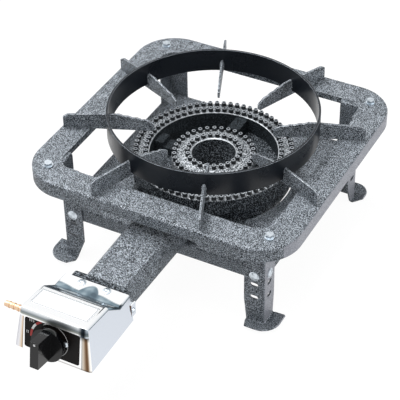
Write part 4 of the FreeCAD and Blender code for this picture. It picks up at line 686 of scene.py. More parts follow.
def finished_piece(
    name: str, bm: bmesh.types.BMesh, body: str, finishes: Sequence[Finish],
    replaced: Sequence[str] = (), smooth_below: float = 35.0,
) -> bpy.types.Object:
    """Turn a bmesh to a piece that rides on a body.

    Args:
        name: The piece's name.
        bm: The finished shape in metres, which is freed here.
        body: The body that carries the piece.
        finishes: One finish for each material number of the faces.
        replaced: The CAD nodes that this piece stands for.
        smooth_below: Edges that turn less than this, in degrees, are shaded smooth.

    Returns:
        The new object.
    """
    mesh = bpy.data.meshes.new(name)
    for face in bm.faces:
        face.smooth = True
    bm.to_mesh(mesh)
    bm.free()
    mesh.set_sharp_from_angle(angle=math.radians(smooth_below))
    for finish in finishes:
        mesh.materials.append(finish.material())
    piece = bpy.data.objects.new(name, mesh)
    bpy.context.scene.collection.objects.link(piece)
    weighted = piece.modifiers.new("even_flat_faces", "WEIGHTED_NORMAL")
    weighted.keep_sharp = True
    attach(piece, body)
    if replaced:
        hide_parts(*replaced)
    LOG.info("%s on %s: %d faces", name, body, len(mesh.polygons))
    return piece


def merged_copy(node: str) -> bmesh.types.BMesh:
    """Copy a CAD node's mesh, join its loose triangles and clear the lines in its flat faces.

    Args:
        node: The CAD node.

    Returns:
        A new bmesh.
    """
    bm = bmesh.new()
    bm.from_mesh(frame["nodes"][node].data)
    bmesh.ops.remove_doubles(bm, verts=bm.verts, dist=TRIANGLE_SEAM)
    bmesh.ops.dissolve_limit(
        bm, angle_limit=math.radians(FLAT_TURN), verts=bm.verts, edges=bm.edges
    )
    return bm


def paint_faces(
    bm: bmesh.types.BMesh, finishes: Sequence[Finish], choose: Callable[[Vector], Finish]
) -> None:
    """Give every face of a shape the number of its finish.

    Args:
        bm: The shape.
        finishes: The piece's finishes.
        choose: Picks one of them by where a face's middle lies.
    """
    for part in bm.faces:
        part.material_index = finishes.index(choose(part.calc_center_median()))


def round_edges(
    bm: bmesh.types.BMesh, radius_mm: float, segments: int = 2, finish: int = 0,
    chosen: Callable[[bmesh.types.BMEdge], bool] | None = None,
) -> None:
    """Round the sharp edges of a shape.

    Args:
        bm: The shape.
        radius_mm: How far the rounding reaches from each edge.
        segments: Faces across each rounding.
        finish: The number of the finish that the rounding shows.
        chosen: Picks among the edges, where not all sharp ones are rounded.
    """
    limit = math.radians(SHARP_TURN)
    edges = [
        e for e in bm.edges
        if len(e.link_faces) == 2 and e.calc_face_angle(0.0) > limit and (not chosen or chosen(e))
    ]
    rounding = bmesh.ops.bevel(
        bm, geom=edges, offset=radius_mm * MM, offset_type="OFFSET", affect="EDGES",
        segments=segments, profile=0.5, material=-1, clamp_overlap=True,
    )
    for part in rounding["faces"]:
        part.material_index = finish


def dressed_copy(
    node: str, finishes: Sequence[Finish], radius_mm: float,
    shape: Callable[[bmesh.types.BMesh], None] | None = None,
) -> None:
    """Stand in for a CAD node with a copy of it that has rounded edges.

    Args:
        node: The CAD node.
        finishes: What its faces are finished in, then its roundings where that differs, then
            what its shaping asks for.
        radius_mm: The rounding of its sharp edges.
        shape: What is done to the copy before its edges are rounded.
    """
    bm = merged_copy(node)
    if shape:
        shape(bm)
    round_edges(bm, radius_mm, finish=min(1, len(finishes) - 1))
    finished_piece(f"{node}_finished", bm, body_of(node), finishes, replaced=[node])


def dress_nodes(finish: Finish, *nodes: str) -> None:
    """Give CAD nodes that stay their material.

    Args:
        finish: What they are finished in.
        *nodes: The names of the nodes.
    """
    for node in nodes:
        shown = frame["nodes"][node].data
        shown.materials.clear()
        shown.materials.append(finish.material())
        LOG.info("%s keeps its CAD shape in %s", node, finish.name)


def spin_profile(
    bm: bmesh.types.BMesh, profile: Sequence[tuple[float, float]], steps: int, closed: bool = True
) -> None:
    """Turn a profile round the upright axis.

    Args:
        bm: The empty bmesh that gets the shape.
        profile: Radii and heights in millimetres.
        steps: Faces round the axis.
        closed: Whether the last point joins the first, as in a ring.
    """
    points = [bm.verts.new((r * MM, 0.0, z * MM)) for r, z in profile]
    ends = points[1:] + points[:1] if closed else points[1:]
    edges = [bm.edges.new(pair) for pair in zip(points, ends)]
    bmesh.ops.spin(
        bm, geom=points + edges, cent=(0, 0, 0), axis=UP, angle=math.tau, steps=steps,
        use_merge=True,
    )
    bmesh.ops.remove_doubles(bm, verts=bm.verts, dist=TURNED_SEAM)
    bmesh.ops.recalc_face_normals(bm, faces=bm.faces)


def add_copies(
    bm: bmesh.types.BMesh, template: bmesh.types.BMesh, places: Iterable[Matrix]
) -> None:
    """Add a copy of a small shape at each of many places.

    Args:
        bm: The bmesh that gets the copies.
        template: The small shape, which is freed here.
        places: Where each copy goes, and how it is turned and stretched.
    """
    mesh = bpy.data.meshes.new("template")
    template.to_mesh(mesh)
    template.free()
    for place in places:
        start = len(bm.verts)
        bm.from_mesh(mesh)
        bm.verts.ensure_lookup_table()
        bmesh.ops.transform(bm, matrix=place, verts=bm.verts[start:])
    bpy.data.meshes.remove(mesh)


def rounded_slab(
    bm: bmesh.types.BMesh, half_size: tuple[float, float], corner: float,
    heights: tuple[float, float], segments: int,
) -> list[bmesh.types.BMVert]:
    """Make a flat block with round corners, in millimetres, centred on the upright axis.

    Args:
        bm: The bmesh that gets the block.
        half_size: Half its width and half its depth.
        corner: The radius of its upright corners.
        heights: The heights of its underside and its top.
        segments: Faces across each corner.

    Returns:
        The vertices of the block.
    """
    before = set(bm.verts)
    low, high = heights
    size = Matrix.Diagonal((*(2 * half * MM for half in half_size), (high - low) * MM, 1.0))
    middle = Matrix.Translation((0.0, 0.0, (low + high) / 2 * MM))
    made = bmesh.ops.create_cube(bm, size=1.0, matrix=middle @ size)["verts"]
    upright = [
        e for e in {e for v in made for e in v.link_edges}
        if abs(e.verts[0].co.z - e.verts[1].co.z) > (high - low) * MM * 0.5
    ]
    bmesh.ops.bevel(
        bm, geom=upright, offset=corner * MM, offset_type="OFFSET", affect="EDGES",
        segments=segments, profile=0.5, material=-1,
    )
    return [v for v in bm.verts if v not in before]


# The stand

@dataclass(frozen=True)
class LegEnds:
    """How far one leg's arms run in at the floor, in millimetres, and what its toes keep.

    The end arm lies along the stand's front or rear, the side arm along its left or right.
    """

    node: str
    end_arm: float
    side_arm: float
    toe_share: float


@dataclass
class Stand:
    """The pressed top frame on its folded legs, with the lower tray and its straps.

    Sizes and places are in millimetres, in this class and in those of the other sub-assemblies.
    """

    # The third finish is the paint with a painted sheen, for faces towards +X.
    finishes: tuple[Finish, ...] = (PAINT, EDGE_HIGHLIGHT_PAINT, RIGHT_SIDE_SHEEN_PAINT)
    frame_edge: float = 0.7
    sheet_edge: float = 0.6
    foot_start: float = 38.0
    arm_root: float = 150.0
    arm_end: float = 126.0
    leg_face: float = 156.5
    leg_sheet: float = 2.5
    face_play: float = 0.1
    toe_start: float = 1.0
    side_facing: float = 0.85
    legs: tuple[LegEnds, ...] = (
        LegEnds("leg_rear_right", 9.0, 15.0, 0.80), LegEnds("leg_rear_left", 9.0, 9.0, 0.9),
        LegEnds("leg_front_left", 15.0, 4.0, 0.95), LegEnds("leg_front_right", 4.0, 3.0, 1.0),
    )

    def build(self) -> None:
        """Build and dress the sheet-metal pieces."""
        # The frame's faces towards +X get the painted sheen.
        dressed_copy("top_frame", self.finishes, self.frame_edge, self.paint_sheen_on_right_side)
        for leg in self.legs:
            shape = partial(self.shape_leg, leg)
            dressed_copy(leg.node, self.finishes, self.sheet_edge, shape)
        dressed_copy("lower_tray", (PAINT, EDGE_HIGHLIGHT_PAINT), self.sheet_edge)
        for strap in ("burner_strap_front", "burner_strap_rear"):
            dressed_copy(strap, (PAINT,), self.sheet_edge)

    def paint_sheen_on_right_side(self, bm: bmesh.types.BMesh) -> None:
        """Give the faces towards +X the paint with a painted sheen.

        Args:
            bm: The shape.
        """
        for part in bm.faces:
            if part.normal.x > self.side_facing and part.calc_center_median().x > 0.0:
                part.material_index = self.finishes.index(RIGHT_SIDE_SHEEN_PAINT)

    def shape_leg(self, leg: LegEnds, bm: bmesh.types.BMesh) -> None:
        """Let the free end of each arm of a leg run in towards its foot, and shorten the toes.

        Args:
            leg: How far they go.
            bm: The leg's shape.
        """
        bmesh.ops.bisect_plane(
            bm, geom=[*bm.verts, *bm.edges, *bm.faces], dist=1e-7,
            plane_co=(0.0, 0.0, self.foot_start * MM), plane_no=UP,
        )
        inner_face = (self.leg_face - self.leg_sheet - self.face_play) * MM
        toe_start = (self.leg_face + self.toe_start) * MM
        root = self.arm_root * MM
        narrowing = (leg.end_arm, leg.side_arm)
        below = [vert for vert in bm.verts if vert.co.z <= self.foot_start * MM]
        for vert, along in product(below, (0, 1)):
            reach, across = abs(vert.co[along]), abs(vert.co[1 - along])
            if reach < root and across >= inner_face:
                height = 0.0 if across > toe_start else vert.co.z / MM
                share = narrowing[along] / (self.arm_root - self.arm_end)
                share *= 1.0 - height / self.foot_start
                moved = root - (root - reach) * (1.0 - share)
                vert.co[along] = math.copysign(moved, vert.co[along])
        for vert, along in product(below, (0, 1)):
            past = abs(vert.co[along]) - toe_start
            if past > 0:
                kept = abs(vert.co[along]) - past * (1.0 - leg.toe_share)
                vert.co[along] = math.copysign(kept, vert.co[along])
        # The leg's faces towards +X get the painted sheen.
        self.paint_sheen_on_right_side(bm)


# The burner

class PortRing(Enum):
    """The two port rings by name."""

    OUTER = "outer_port_ring"
    INNER = "inner_port_ring"


@dataclass
class Burner:
    """The cast bowl with its duct, and the two port rings with their hollow nipples."""

    casting_finishes: tuple[Finish, ...] = (CASTING_PAINT, GAP_PAINTED_SHADE, PAINT, SHADE_DARKENED_PAINT)
    ring_finishes: tuple[Finish, ...] = (
        PORT_CASTING, NIPPLE_RIM_HIGHLIGHT, NIPPLE_SIDE_SHADE, NIPPLE_BORE_SHADE, PORT_LIP_HIGHLIGHT, GAP_PAINTED_SHADE, SHADE_DARKENED_PAINT,
    )
    wall: float = 3.5
    seat: float = 117.2
    outer_inside: float = 91.0
    outer_top: float = 138.5
    outer_top_radius: float = 114.0
    outer_skirt: float = 116.5
    inner_hole: float = 31.0
    inner_outside: float = 60.0
    inner_hole_height: float = 136.0
    inner_edge_height: float = 131.5
    hole_draft: float = 1.0
    ring_softness: float = 1.2
    corner_middle: float = 0.3
    face_margin: float = 1.0
    lip_width: float = 1.6
    lip_depth: float = 1.6
    outer_rows: tuple[tuple[float, int], ...] = ((110.0, 69), (95.8, 60))
    inner_rows: tuple[tuple[float, int], ...] = ((56.0, 34), (37.4, 23))
    nipple_height: float = 6.0
    nipple_base: float = 3.6
    nipple_tip: float = 3.0
    nipple_bore: float = 1.6
    nipple_root: float = 0.6
    bore_depth: float = 3.2
    rim_softness: float = 0.2
    rim_drop: float = 0.7
    bore_flare: float = 0.15
    bore_flare_depth: float = 0.4
    rim_zone: float = 0.5
    bore_zone: float = 0.2
    casting_edge: float = 1.0
    duct_rear: float = -135.0
    bowl_wall: float = 106.5
    wall_zone: float = 8.0
    bowl_low: float = 92.0
    bowl_high: float = 101.0
    bowl_swell: float = 2.6
    collar_rear: float = -300.0
    collar_zone: float = 1.5
    collar_cut: float = 10.0
    gap_low: float = 84.0
    funnel_reach: float = 34.0
    ring_steps: int = 144
    nipple_steps: int = 10

    def build(self) -> None:
        """Build the casting and both rings."""
        self.build_casting()
        self.build_ring(PortRing.OUTER, self.outer_profile(), self.outer_rows)
        self.build_ring(PortRing.INNER, self.inner_profile(), self.inner_rows)

    def build_casting(self) -> None:
        """Round and finish the casting, shorten its collar and let its wall swell low down."""
        bm = merged_copy("burner_body")
        round_edges(bm, self.casting_edge)
        paint_faces(bm, self.casting_finishes, self.casting_finish)
        for vert in bm.verts:
            if abs(vert.co.y / MM - self.collar_rear) < self.collar_zone:
                vert.co.y -= self.collar_cut * MM
            reach = radius_of(vert.co)
            if reach > self.bowl_wall and self.bowl_low < vert.co.z / MM < self.bowl_high:
                vert.co.xy *= (reach + self.bowl_swell) / reach
        finished_piece(
            "burner_casting", bm, body_of("burner_body"), self.casting_finishes,
            replaced=["burner_body"],
        )

    def casting_finish(self, middle: Vector) -> Finish:
        """Choose a casting face's finish by where its middle lies.

        Args:
            middle: The face's middle in metres.

        Returns:
            The finish: painted shade on collar, funnel and bowl wall, and a dull painted shade in
                the gap between the rings.
        """
        # The collar, the funnel, the bowl's wall and the gap between the rings are darkened as
        # painted shade.
        reach = radius_of(middle)
        in_gap = self.inner_outside - self.face_margin < reach < self.outer_inside + self.face_margin
        if middle.y < self.collar_rear * MM:
            return SHADE_DARKENED_PAINT
        if middle.y < self.duct_rear * MM:
            return PAINT
        if in_gap and middle.z > self.gap_low * MM:
            return GAP_PAINTED_SHADE
        if reach < self.funnel_reach or reach > self.bowl_wall - self.wall_zone:
            return SHADE_DARKENED_PAINT
        return CASTING_PAINT

    def outer_profile(self) -> list[tuple[float, float]]:
        """Give the outer ring's section: an upside-down channel with a flared skirt.

        Returns:
            Radii and heights in millimetres.
        """
        inside, outside, top, soft = (
            self.outer_inside, self.outer_top_radius, self.outer_top, self.ring_softness
        )
        corner = ((0.0, soft), (soft * self.corner_middle,) * 2, (soft, 0.0))
        return [
            (inside, self.seat), *((inside + inward, top - down) for inward, down in corner),
            *((outside - inward, top - down) for down, inward in corner),
            (self.outer_skirt, self.seat), (self.outer_skirt - 2 * self.wall, self.seat),
            (outside - self.wall, top - self.wall), (inside + self.wall, top - self.wall),
            (inside + self.wall, self.seat),
        ]

    def inner_profile(self) -> list[tuple[float, float]]:
        """Give the inner ring's section: a coned top round the funnel's mouth.

        Returns:
            Radii and heights in millimetres.
        """
        hole, edge, soft = self.inner_hole_height, self.inner_edge_height, self.ring_softness
        return [
            (self.inner_hole - self.hole_draft, self.seat), (self.inner_hole, hole - soft),
            (self.inner_hole + soft, hole), (self.inner_outside - soft, edge),
            (self.inner_outside, edge - soft), (self.inner_outside, self.seat),
            (self.inner_outside - self.wall, self.seat),
            (self.inner_outside - self.wall, edge - self.wall),
            (self.inner_hole + self.wall, hole - self.wall),
            (self.inner_hole + self.wall - self.hole_draft, self.seat),
        ]

    def top_height(self, ring: PortRing, radius: float) -> float:
        """Give the height of a ring's top, which is level or coned.

        Args:
            ring: Which ring it is.
            radius: The distance from its axis in millimetres.

        Returns:
            The height in millimetres.
        """
        if ring is PortRing.OUTER:
            return self.outer_top
        share = (self.inner_outside - radius) / (self.inner_outside - self.inner_hole)
        return self.inner_edge_height + (self.inner_hole_height - self.inner_edge_height) * share

    def ring_finish(self, ring: PortRing, middle: Vector) -> Finish:
        """Choose a ring face's finish by where its middle lies.

        Args:
            ring: Which ring it is.
            middle: The face's middle in metres.

        Returns:
            The finish: a painted highlight on the lip, painted shade on the gap's wall, on the skirt
                and in the funnel.
        """
        # The lip gets a painted highlight; the gap's wall, the funnel and the skirt get painted
        # shade.
        reach = radius_of(middle)
        lip = self.inner_hole if ring is PortRing.INNER else self.outer_inside
        near_top = middle.z / MM > self.top_height(ring, reach) - self.lip_depth
        if near_top and abs(reach - lip) < self.lip_width:
            return PORT_LIP_HIGHLIGHT
        if reach < lip + self.face_margin:
            return SHADE_DARKENED_PAINT if ring is PortRing.INNER else GAP_PAINTED_SHADE
        return SHADE_DARKENED_PAINT if reach > self.outer_top_radius else PORT_CASTING

    def nipple_profile(self) -> list[tuple[float, float]]:
        """Give a hollow nipple's section, from its root up, over the rim and down the bore.

        Returns:
            Radii and heights in millimetres.
        """
        tip, bore, height = self.nipple_tip, self.nipple_bore, self.nipple_height
        return [
            (0.0, -self.nipple_root), (self.nipple_base, -self.nipple_root),
            (tip + self.rim_softness, height - self.rim_drop), (tip - self.rim_softness, height),
            (bore + self.bore_flare, height), (bore, height - self.bore_flare_depth),
            (bore, height - self.bore_depth), (0.0, height - self.bore_depth),
        ]

    def nipple_finish(self, middle: Vector) -> Finish:
        """Choose a nipple face's finish.

        Args:
            middle: The face's middle in metres, from the nipple's seat.

        Returns:
            The finish: a painted highlight on its rim, painted shade in its bore and on its flank.
        """
        # The rim gets a painted highlight; the bore and the flank get painted shade.
        if middle.z > (self.nipple_height - self.rim_zone) * MM:
            return NIPPLE_RIM_HIGHLIGHT
        in_bore = radius_of(middle) < self.nipple_bore + self.bore_zone and middle.z > 0
        return NIPPLE_BORE_SHADE if in_bore else NIPPLE_SIDE_SHADE

    def build_ring(
        self, ring: PortRing, profile: Sequence[tuple[float, float]],
        rows: Sequence[tuple[float, int]],
    ) -> None:
        """Build one port ring with its nipples.

        Args:
            ring: Which ring it is.
            profile: Its section.
            rows: The radius and the number of nipples of each row.
        """
        bm = bmesh.new()
        spin_profile(bm, profile, self.ring_steps)
        paint_faces(bm, self.ring_finishes, partial(self.ring_finish, ring))
        nipple = bmesh.new()
        spin_profile(nipple, self.nipple_profile(), self.nipple_steps, closed=False)
        paint_faces(nipple, self.ring_finishes, self.nipple_finish)
        add_copies(bm, nipple, (
            Matrix.Translation(Vector((
                radius * math.cos(math.tau * i / count), radius * math.sin(math.tau * i / count),
                self.top_height(ring, radius),
            )) * MM)
            for radius, count in rows for i in range(count)
        ))
        finished_piece(
            f"{ring.value}_with_nipples", bm, body_of(ring.value), self.ring_finishes,
            replaced=[ring.value],
        )


# The pot support

@dataclass
class PotSupport:
    """The enamelled ring on its eight welded fins, with the weld beads."""

    fins: int = 8
    first_fin: float = 22.5
    fin_edge: float = 0.5
    ring_outside: float = 148.5
    ring_wall: float = 3.0
    ring_edge: float = 0.8
    outside_bead: tuple[float, float] = (178.5, 190.0)
    inside_bead: tuple[float, float] = (179.0, 189.0)
    bead_offset: float = 1.5
    bead_lumps: int = 5
    lump_radius: float = 2.1
    lump_stretch: float = 1.25
    lump_change: float = 0.18
    lump_turn: float = 2.1
    bead_smoothing: float = 60.0
    fin_turn: float = 1.3

    def build(self) -> None:
        """Build the ring, the fins and the beads."""
        dressed_copy("pot_ring", (RING_ENAMEL, RING_EDGE), self.ring_edge)
        for number in range(1, self.fins + 1):
            dressed_copy(f"pot_fin_{number}", (PAINT, EDGE_HIGHLIGHT_PAINT), self.fin_edge)
        bm = bmesh.new()
        lump = bmesh.new()
        bmesh.ops.create_icosphere(lump, subdivisions=1, radius=self.lump_radius * MM)
        add_copies(bm, lump, self.lump_places())
        finished_piece(
            "ring_weld_beads", bm, body_of("pot_ring"), (PAINT,), smooth_below=self.bead_smoothing
        )

    def lump_places(self) -> Iterator[Matrix]:
        """Lay out the weld beads: uneven, overlapping lumps up both sides of every fin.

        Returns:
            The place and stretch of each lump, outside and inside the ring.
        """
        beads = (
            (self.ring_outside, *self.outside_bead),
            (self.ring_outside - self.ring_wall, *self.inside_bead),
        )
        for number in range(self.fins):
            angle = math.radians(self.first_fin + 360.0 / self.fins * number)
            for side, (reach, low, high), i in product((-1, 1), beads, range(self.bead_lumps)):
                phase = self.lump_turn * i + self.fin_turn * number + side
                swell = 1.0 + self.lump_change * math.sin(phase)
                height = low + (high - low) * i / (self.bead_lumps - 1)
                place = Vector((reach, side * self.bead_offset, height)) * MM
                stretch = Matrix.Diagonal((swell, swell, self.lump_stretch, 1.0))
                yield Matrix.Rotation(angle, 4, "Z") @ Matrix.Translation(place) @ stretch


# The valve box

@dataclass
class ValveBox:
    """The bright cover with its plate, the dark panel with its marks, and the valve behind."""

    cover_edge: float = 0.5
    cover_rounding: float = 3.0
    rounding_segments: int = 5
    rounded_from: float = 12.0
    side_facing: float = 0.9
    top_facing: float = 0.5
    top_turn: float = 0.3
    cover_rear_y: float = -320.0
    cover_run: float = 112.0
    skirt_low: float = 102.0
    skirt_zone: float = 1.0
    skirt_lift: float = 8.0
    front_zone: float = 0.9
    top_half: float = 45.3
    side_slant: float = 0.084
    side_blend: float = 4.0
    flare_rear_y: float = -335.0
    flare_run: float = 40.0
    right_flare: tuple[float, float] = (3.5, 5.5)
    left_flare: tuple[float, float] = (-1.2, 2.7)
    top_rear_y: float = -372.0
    top_rear_z: float = 165.0
    top_front_z: float = 170.0
    cover_before_panel: float = 0.8
    spring_foot: float = 10.35
    spring_keep: float = 0.677
    plate_half: tuple[float, float] = (40.3, 14.6)
    plate_corner: float = 3.2
    plate_segments: int = 5
    plate_heights: tuple[float, float] = (-0.55, -0.05)
    plate_edge: float = 0.15
    plate_rim: float = 0.4
    plate_line: float = 0.8
    plate_front_y: float = -408.0
    plate_rear_y: float = -378.0
    ink_heights: tuple[float, float] = (0.02, 0.10)
    arc_step: float = 5.0
    dial_radius: float = 22.3
    dial_arc: tuple[float, float] = (-52.0, 126.0)
    line_width: float = 0.6
    band_inner: float = 25.9
    band_outer: float = 28.9
    band_shift: float = -3.0
    bands: tuple[tuple[float, float, Finish], ...] = (
        (118.0, 138.0, INK_RED), (139.0, 160.0, INK_WHITE), (161.0, 184.0, INK_RED),
    )
    ticks: tuple[tuple[float, float], ...] = (
        (-32.4, 18.6), (-29.6, 18.6), (-26.8, 18.6), (-36.6, 0.2), (-34.6, 0.2),
    )
    tick_half: tuple[float, float] = (0.45, 1.9)
    tick_corner: float = 0.2

    def build(self) -> None:
        """Build the cover, the bracket, the spring, the plate and the marks, and dress the valve."""
        dressed_copy("valve_cover", (COVER_CHROME,), self.cover_edge, self.shape_cover)
        dressed_copy("valve_bracket", (ZINC_SHEET,), self.cover_edge)
        dress_nodes(PANEL_BLACK, "control_panel")
        dress_nodes(BRASS, "valve_body", "valve_bonnet", "valve_plug", "gas_jet")
        dress_nodes(BARB_BRASS, "hose_barb")
        dress_nodes(STEEL, "valve_stem", "spring_seat")
        self.build_spring()
        self.build_plate()
        self.build_marks()

    def build_spring(self) -> None:
        """Copy the stem's spring, and give the copy a mesh of its own."""
        coil = finished_piece(
            "stem_spring_coil", merged_copy("stem_spring"), body_of("stem_spring"), (STEEL,),
            replaced=["stem_spring"],
        )
        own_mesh(coil)

    def shape_cover(self, bm: bmesh.types.BMesh) -> None:
        """Round the cover's long upper edges, let its sides flare and lift its lower edge.

        Args:
            bm: The cover's shape.
        """
        round_edges(bm, self.cover_rounding, self.rounding_segments, chosen=self.on_upper_side)
        for vert in bm.verts:
            x, y, z = (value / MM for value in vert.co)
            forward = (self.cover_rear_y - y) / self.cover_run
            if z < self.skirt_low + self.skirt_zone:
                lift = self.skirt_lift * min(max(forward, 0.0), 1.0)
                vert.co.z += lift * MM
                if forward > self.front_zone:
                    vert.co.y += lift * math.tan(PANEL_TILT) * MM
            drop = self.top_front_z - z
            beside = (abs(x) - self.top_half - drop * self.side_slant) / self.side_blend + 1.0
            ahead = (self.flare_rear_y - y) / self.flare_run
            share = min(max(beside, 0.0), 1.0) * min(max(ahead, 0.0), 1.0)
            first, last = self.right_flare if x > 0 else self.left_flare
            flare = first + (last - first) * drop / (self.top_front_z - self.skirt_low)
            vert.co.x += math.copysign(flare * share * MM, x)

    def on_upper_side(self, edge: bmesh.types.BMEdge) -> bool:
        """Say whether a long edge lies between the cover's outer side and its top or slope.

        Args:
            edge: The edge, which has two faces.

        Returns:
            True where it does.
        """
        upper, side = sorted((part.normal for part in edge.link_faces), key=lambda n: abs(n.x))
        on_side = abs(side.x) > self.side_facing
        on_top = upper.z > self.top_facing and abs(upper.x) < self.top_turn
        return on_side and on_top and edge.calc_length() > self.rounded_from * MM

    def slope(self) -> float:
        """Give the slope of the box's top, from its rear edge up to its front.

        Returns:
            The angle in radians.
        """
        rise = self.top_front_z - KNOB_CENTRE.z / MM
        face_y = KNOB_CENTRE.y / MM + rise * math.tan(PANEL_TILT)
        run = self.top_rear_y - face_y + self.cover_before_panel
        return math.atan2(self.top_front_z - self.top_rear_z, run)

    def build_plate(self) -> None:
        """Lay the blank white plate with its thin grey line in the cover's shallow recess."""
        bm = bmesh.new()
        rounded_slab(
            bm, self.plate_half, self.plate_corner, self.plate_heights, self.plate_segments
        )
        round_edges(bm, self.plate_edge, 1)
        top = max(bm.faces, key=lambda face: face.normal.z * face.calc_area())
        for finish, width in enumerate((self.plate_rim, self.plate_line)):
            inset = bmesh.ops.inset_region(
                bm, faces=[top], thickness=width * MM, use_even_offset=True
            )
            for part in inset["faces"]:
                part.material_index = finish
        slope = self.slope()
        middle = (self.plate_front_y + self.plate_rear_y) / 2
        height = self.top_rear_z + (self.top_rear_y - middle) * math.tan(slope)
        place = Matrix.Translation((0.0, middle * MM, height * MM))
        turned = place @ Matrix.Rotation(-slope, 4, "X")
        bmesh.ops.transform(bm, matrix=turned, verts=bm.verts)
        finished_piece(
            "blank_name_plate", bm, body_of("valve_cover"), (NAMEPLATE_WHITE, PLATE_LINE)
        )

    def add_arc(
        self, bm: bmesh.types.BMesh, radii: tuple[float, float], ends: tuple[float, float],
        finish: int,
    ) -> None:
        """Add a flat printed arc in the level plane, round the upright axis.

        Args:
            bm: The bmesh that gets the arc.
            radii: Its inner and outer radius in millimetres.
            ends: Where it starts and ends, in degrees counter-clockwise from the right.
            finish: The number of its finish.
        """
        before = set(bm.verts)
        (inner, outer), (low, high), (start, end) = radii, self.ink_heights, ends
        corners = ((inner, low), (outer, low), (outer, high), (inner, high))
        section = bm.faces.new([bm.verts.new((r * MM, 0.0, z * MM)) for r, z in corners])
        bmesh.ops.spin(
            bm, geom=[section], cent=(0, 0, 0), axis=UP, angle=math.radians(end - start),
            steps=max(2, round((end - start) / self.arc_step)),
        )
        made = [v for v in bm.verts if v not in before]
        faces = list({f for v in made for f in v.link_faces})
        bmesh.ops.recalc_face_normals(bm, faces=faces)
        for part in faces:
            part.material_index = finish
        turn = Matrix.Rotation(math.radians(start), 3, "Z")
        bmesh.ops.rotate(bm, cent=(0, 0, 0), matrix=turn, verts=made)

    def build_marks(self) -> None:
        """Print the dial's circle, its red and white band, and plain ticks on the panel."""
        inks = (INK_WHITE, INK_RED)
        bm = bmesh.new()
        for start, end, ink in self.bands:
            self.add_arc(bm, (self.band_inner, self.band_outer), (start, end), inks.index(ink))
        shift = Vector((self.band_shift, self.band_shift, 0.0)) * MM
        bmesh.ops.translate(bm, verts=bm.verts, vec=shift)
        thin = self.line_width / 2
        circle = (self.dial_radius - thin, self.dial_radius + thin)
        self.add_arc(bm, circle, self.dial_arc, inks.index(INK_WHITE))
        for side, rise in self.ticks:
            tick = rounded_slab(bm, self.tick_half, self.tick_corner, self.ink_heights, 1)
            bmesh.ops.translate(bm, verts=tick, vec=Vector((side, rise, 0.0)) * MM)
        turn = Matrix((Vector((1.0, 0.0, 0.0)), PANEL_UP, PANEL_OUT)).transposed().to_4x4()
        on_panel = Matrix.Translation(KNOB_CENTRE) @ turn
        bmesh.ops.transform(bm, matrix=on_panel, verts=bm.verts)
        finished_piece("dial_marks", bm, body_of("control_panel"), inks)


@dataclass
class Knob:
    """The turning knob with its grip bar and its white dot."""

    edge: float = 0.6

    def build(self) -> None:
        """Build the knob and its dot."""
        dressed_copy("knob", (KNOB_BLACK, KNOB_EDGE), self.edge)
        dress_nodes(INK_WHITE, "knob_pointer")


# The fasteners

@dataclass(frozen=True)
class ScrewHead:
    """A flanged domed screw head with a round recess, above a seat at the origin.

    Sizes are in millimetres, or shares of the dome's radius and the head's height.
    """

    flange: float
    height: float
    flange_edge: float = 0.7
    neck_width: float = 0.5
    neck_height: float = 1.1
    dome_start: float = 1.2
    dome_share: float = 0.66
    shoulder: tuple[float, float] = (0.86, 0.76)
    crown: float = 0.55
    recess_rim: float = 0.40
    recess_floor: float = 0.34
    recess_depth: float = 1.2
    recess_play: float = 0.05
    recess_low: float = 0.5
    steps: int = 20
    finishes: tuple[Finish, ...] = (ZINC, SCREW_RECESS)

    def head(self) -> bmesh.types.BMesh:
        """Make the head with its recess finished dark.

        Returns:
            A new bmesh.
        """
        dome, floor = self.flange * self.dome_share, self.height - self.recess_depth
        out, up = self.shoulder
        bm = bmesh.new()
        spin_profile(bm, [
            (0.0, 0.0), (self.flange, 0.0), (self.flange, self.flange_edge),
            (dome + self.neck_width, self.neck_height), (dome, self.dome_start),
            (dome * out, self.height * up), (dome * self.crown, self.height),
            (dome * self.recess_rim, self.height), (dome * self.recess_floor, floor),
            (0.0, floor),
        ], self.steps, closed=False)
        paint_faces(bm, self.finishes, self.finish_at)
        return bm

    def finish_at(self, middle: Vector) -> Finish:
        """Choose a face's finish.

        Args:
            middle: The face's middle in metres, from the head's seat.

        Returns:
            The finish of the recess or of the rest.
        """
        rim = self.flange * self.dome_share * self.recess_rim + self.recess_play
        in_recess = radius_of(middle) < rim and middle.z > self.recess_low * MM
        return SCREW_RECESS if in_recess else ZINC

    def build(self, name: str, node: str, seats: Iterable[tuple[Vector, Vector]]) -> None:
        """Build one piece of such heads.

        Args:
            name: The piece's name.
            node: The CAD node of the screws, whose body carries the heads.
            seats: Where each head sits, in millimetres, and the way that it faces.
        """
        bm = bmesh.new()
        add_copies(bm, self.head(), (
            Matrix.Translation(seat * MM) @ outward.to_track_quat("Z", "Y").to_matrix().to_4x4()
            for seat, outward in seats
        ))
        finished_piece(name, bm, body_of(node), self.finishes)


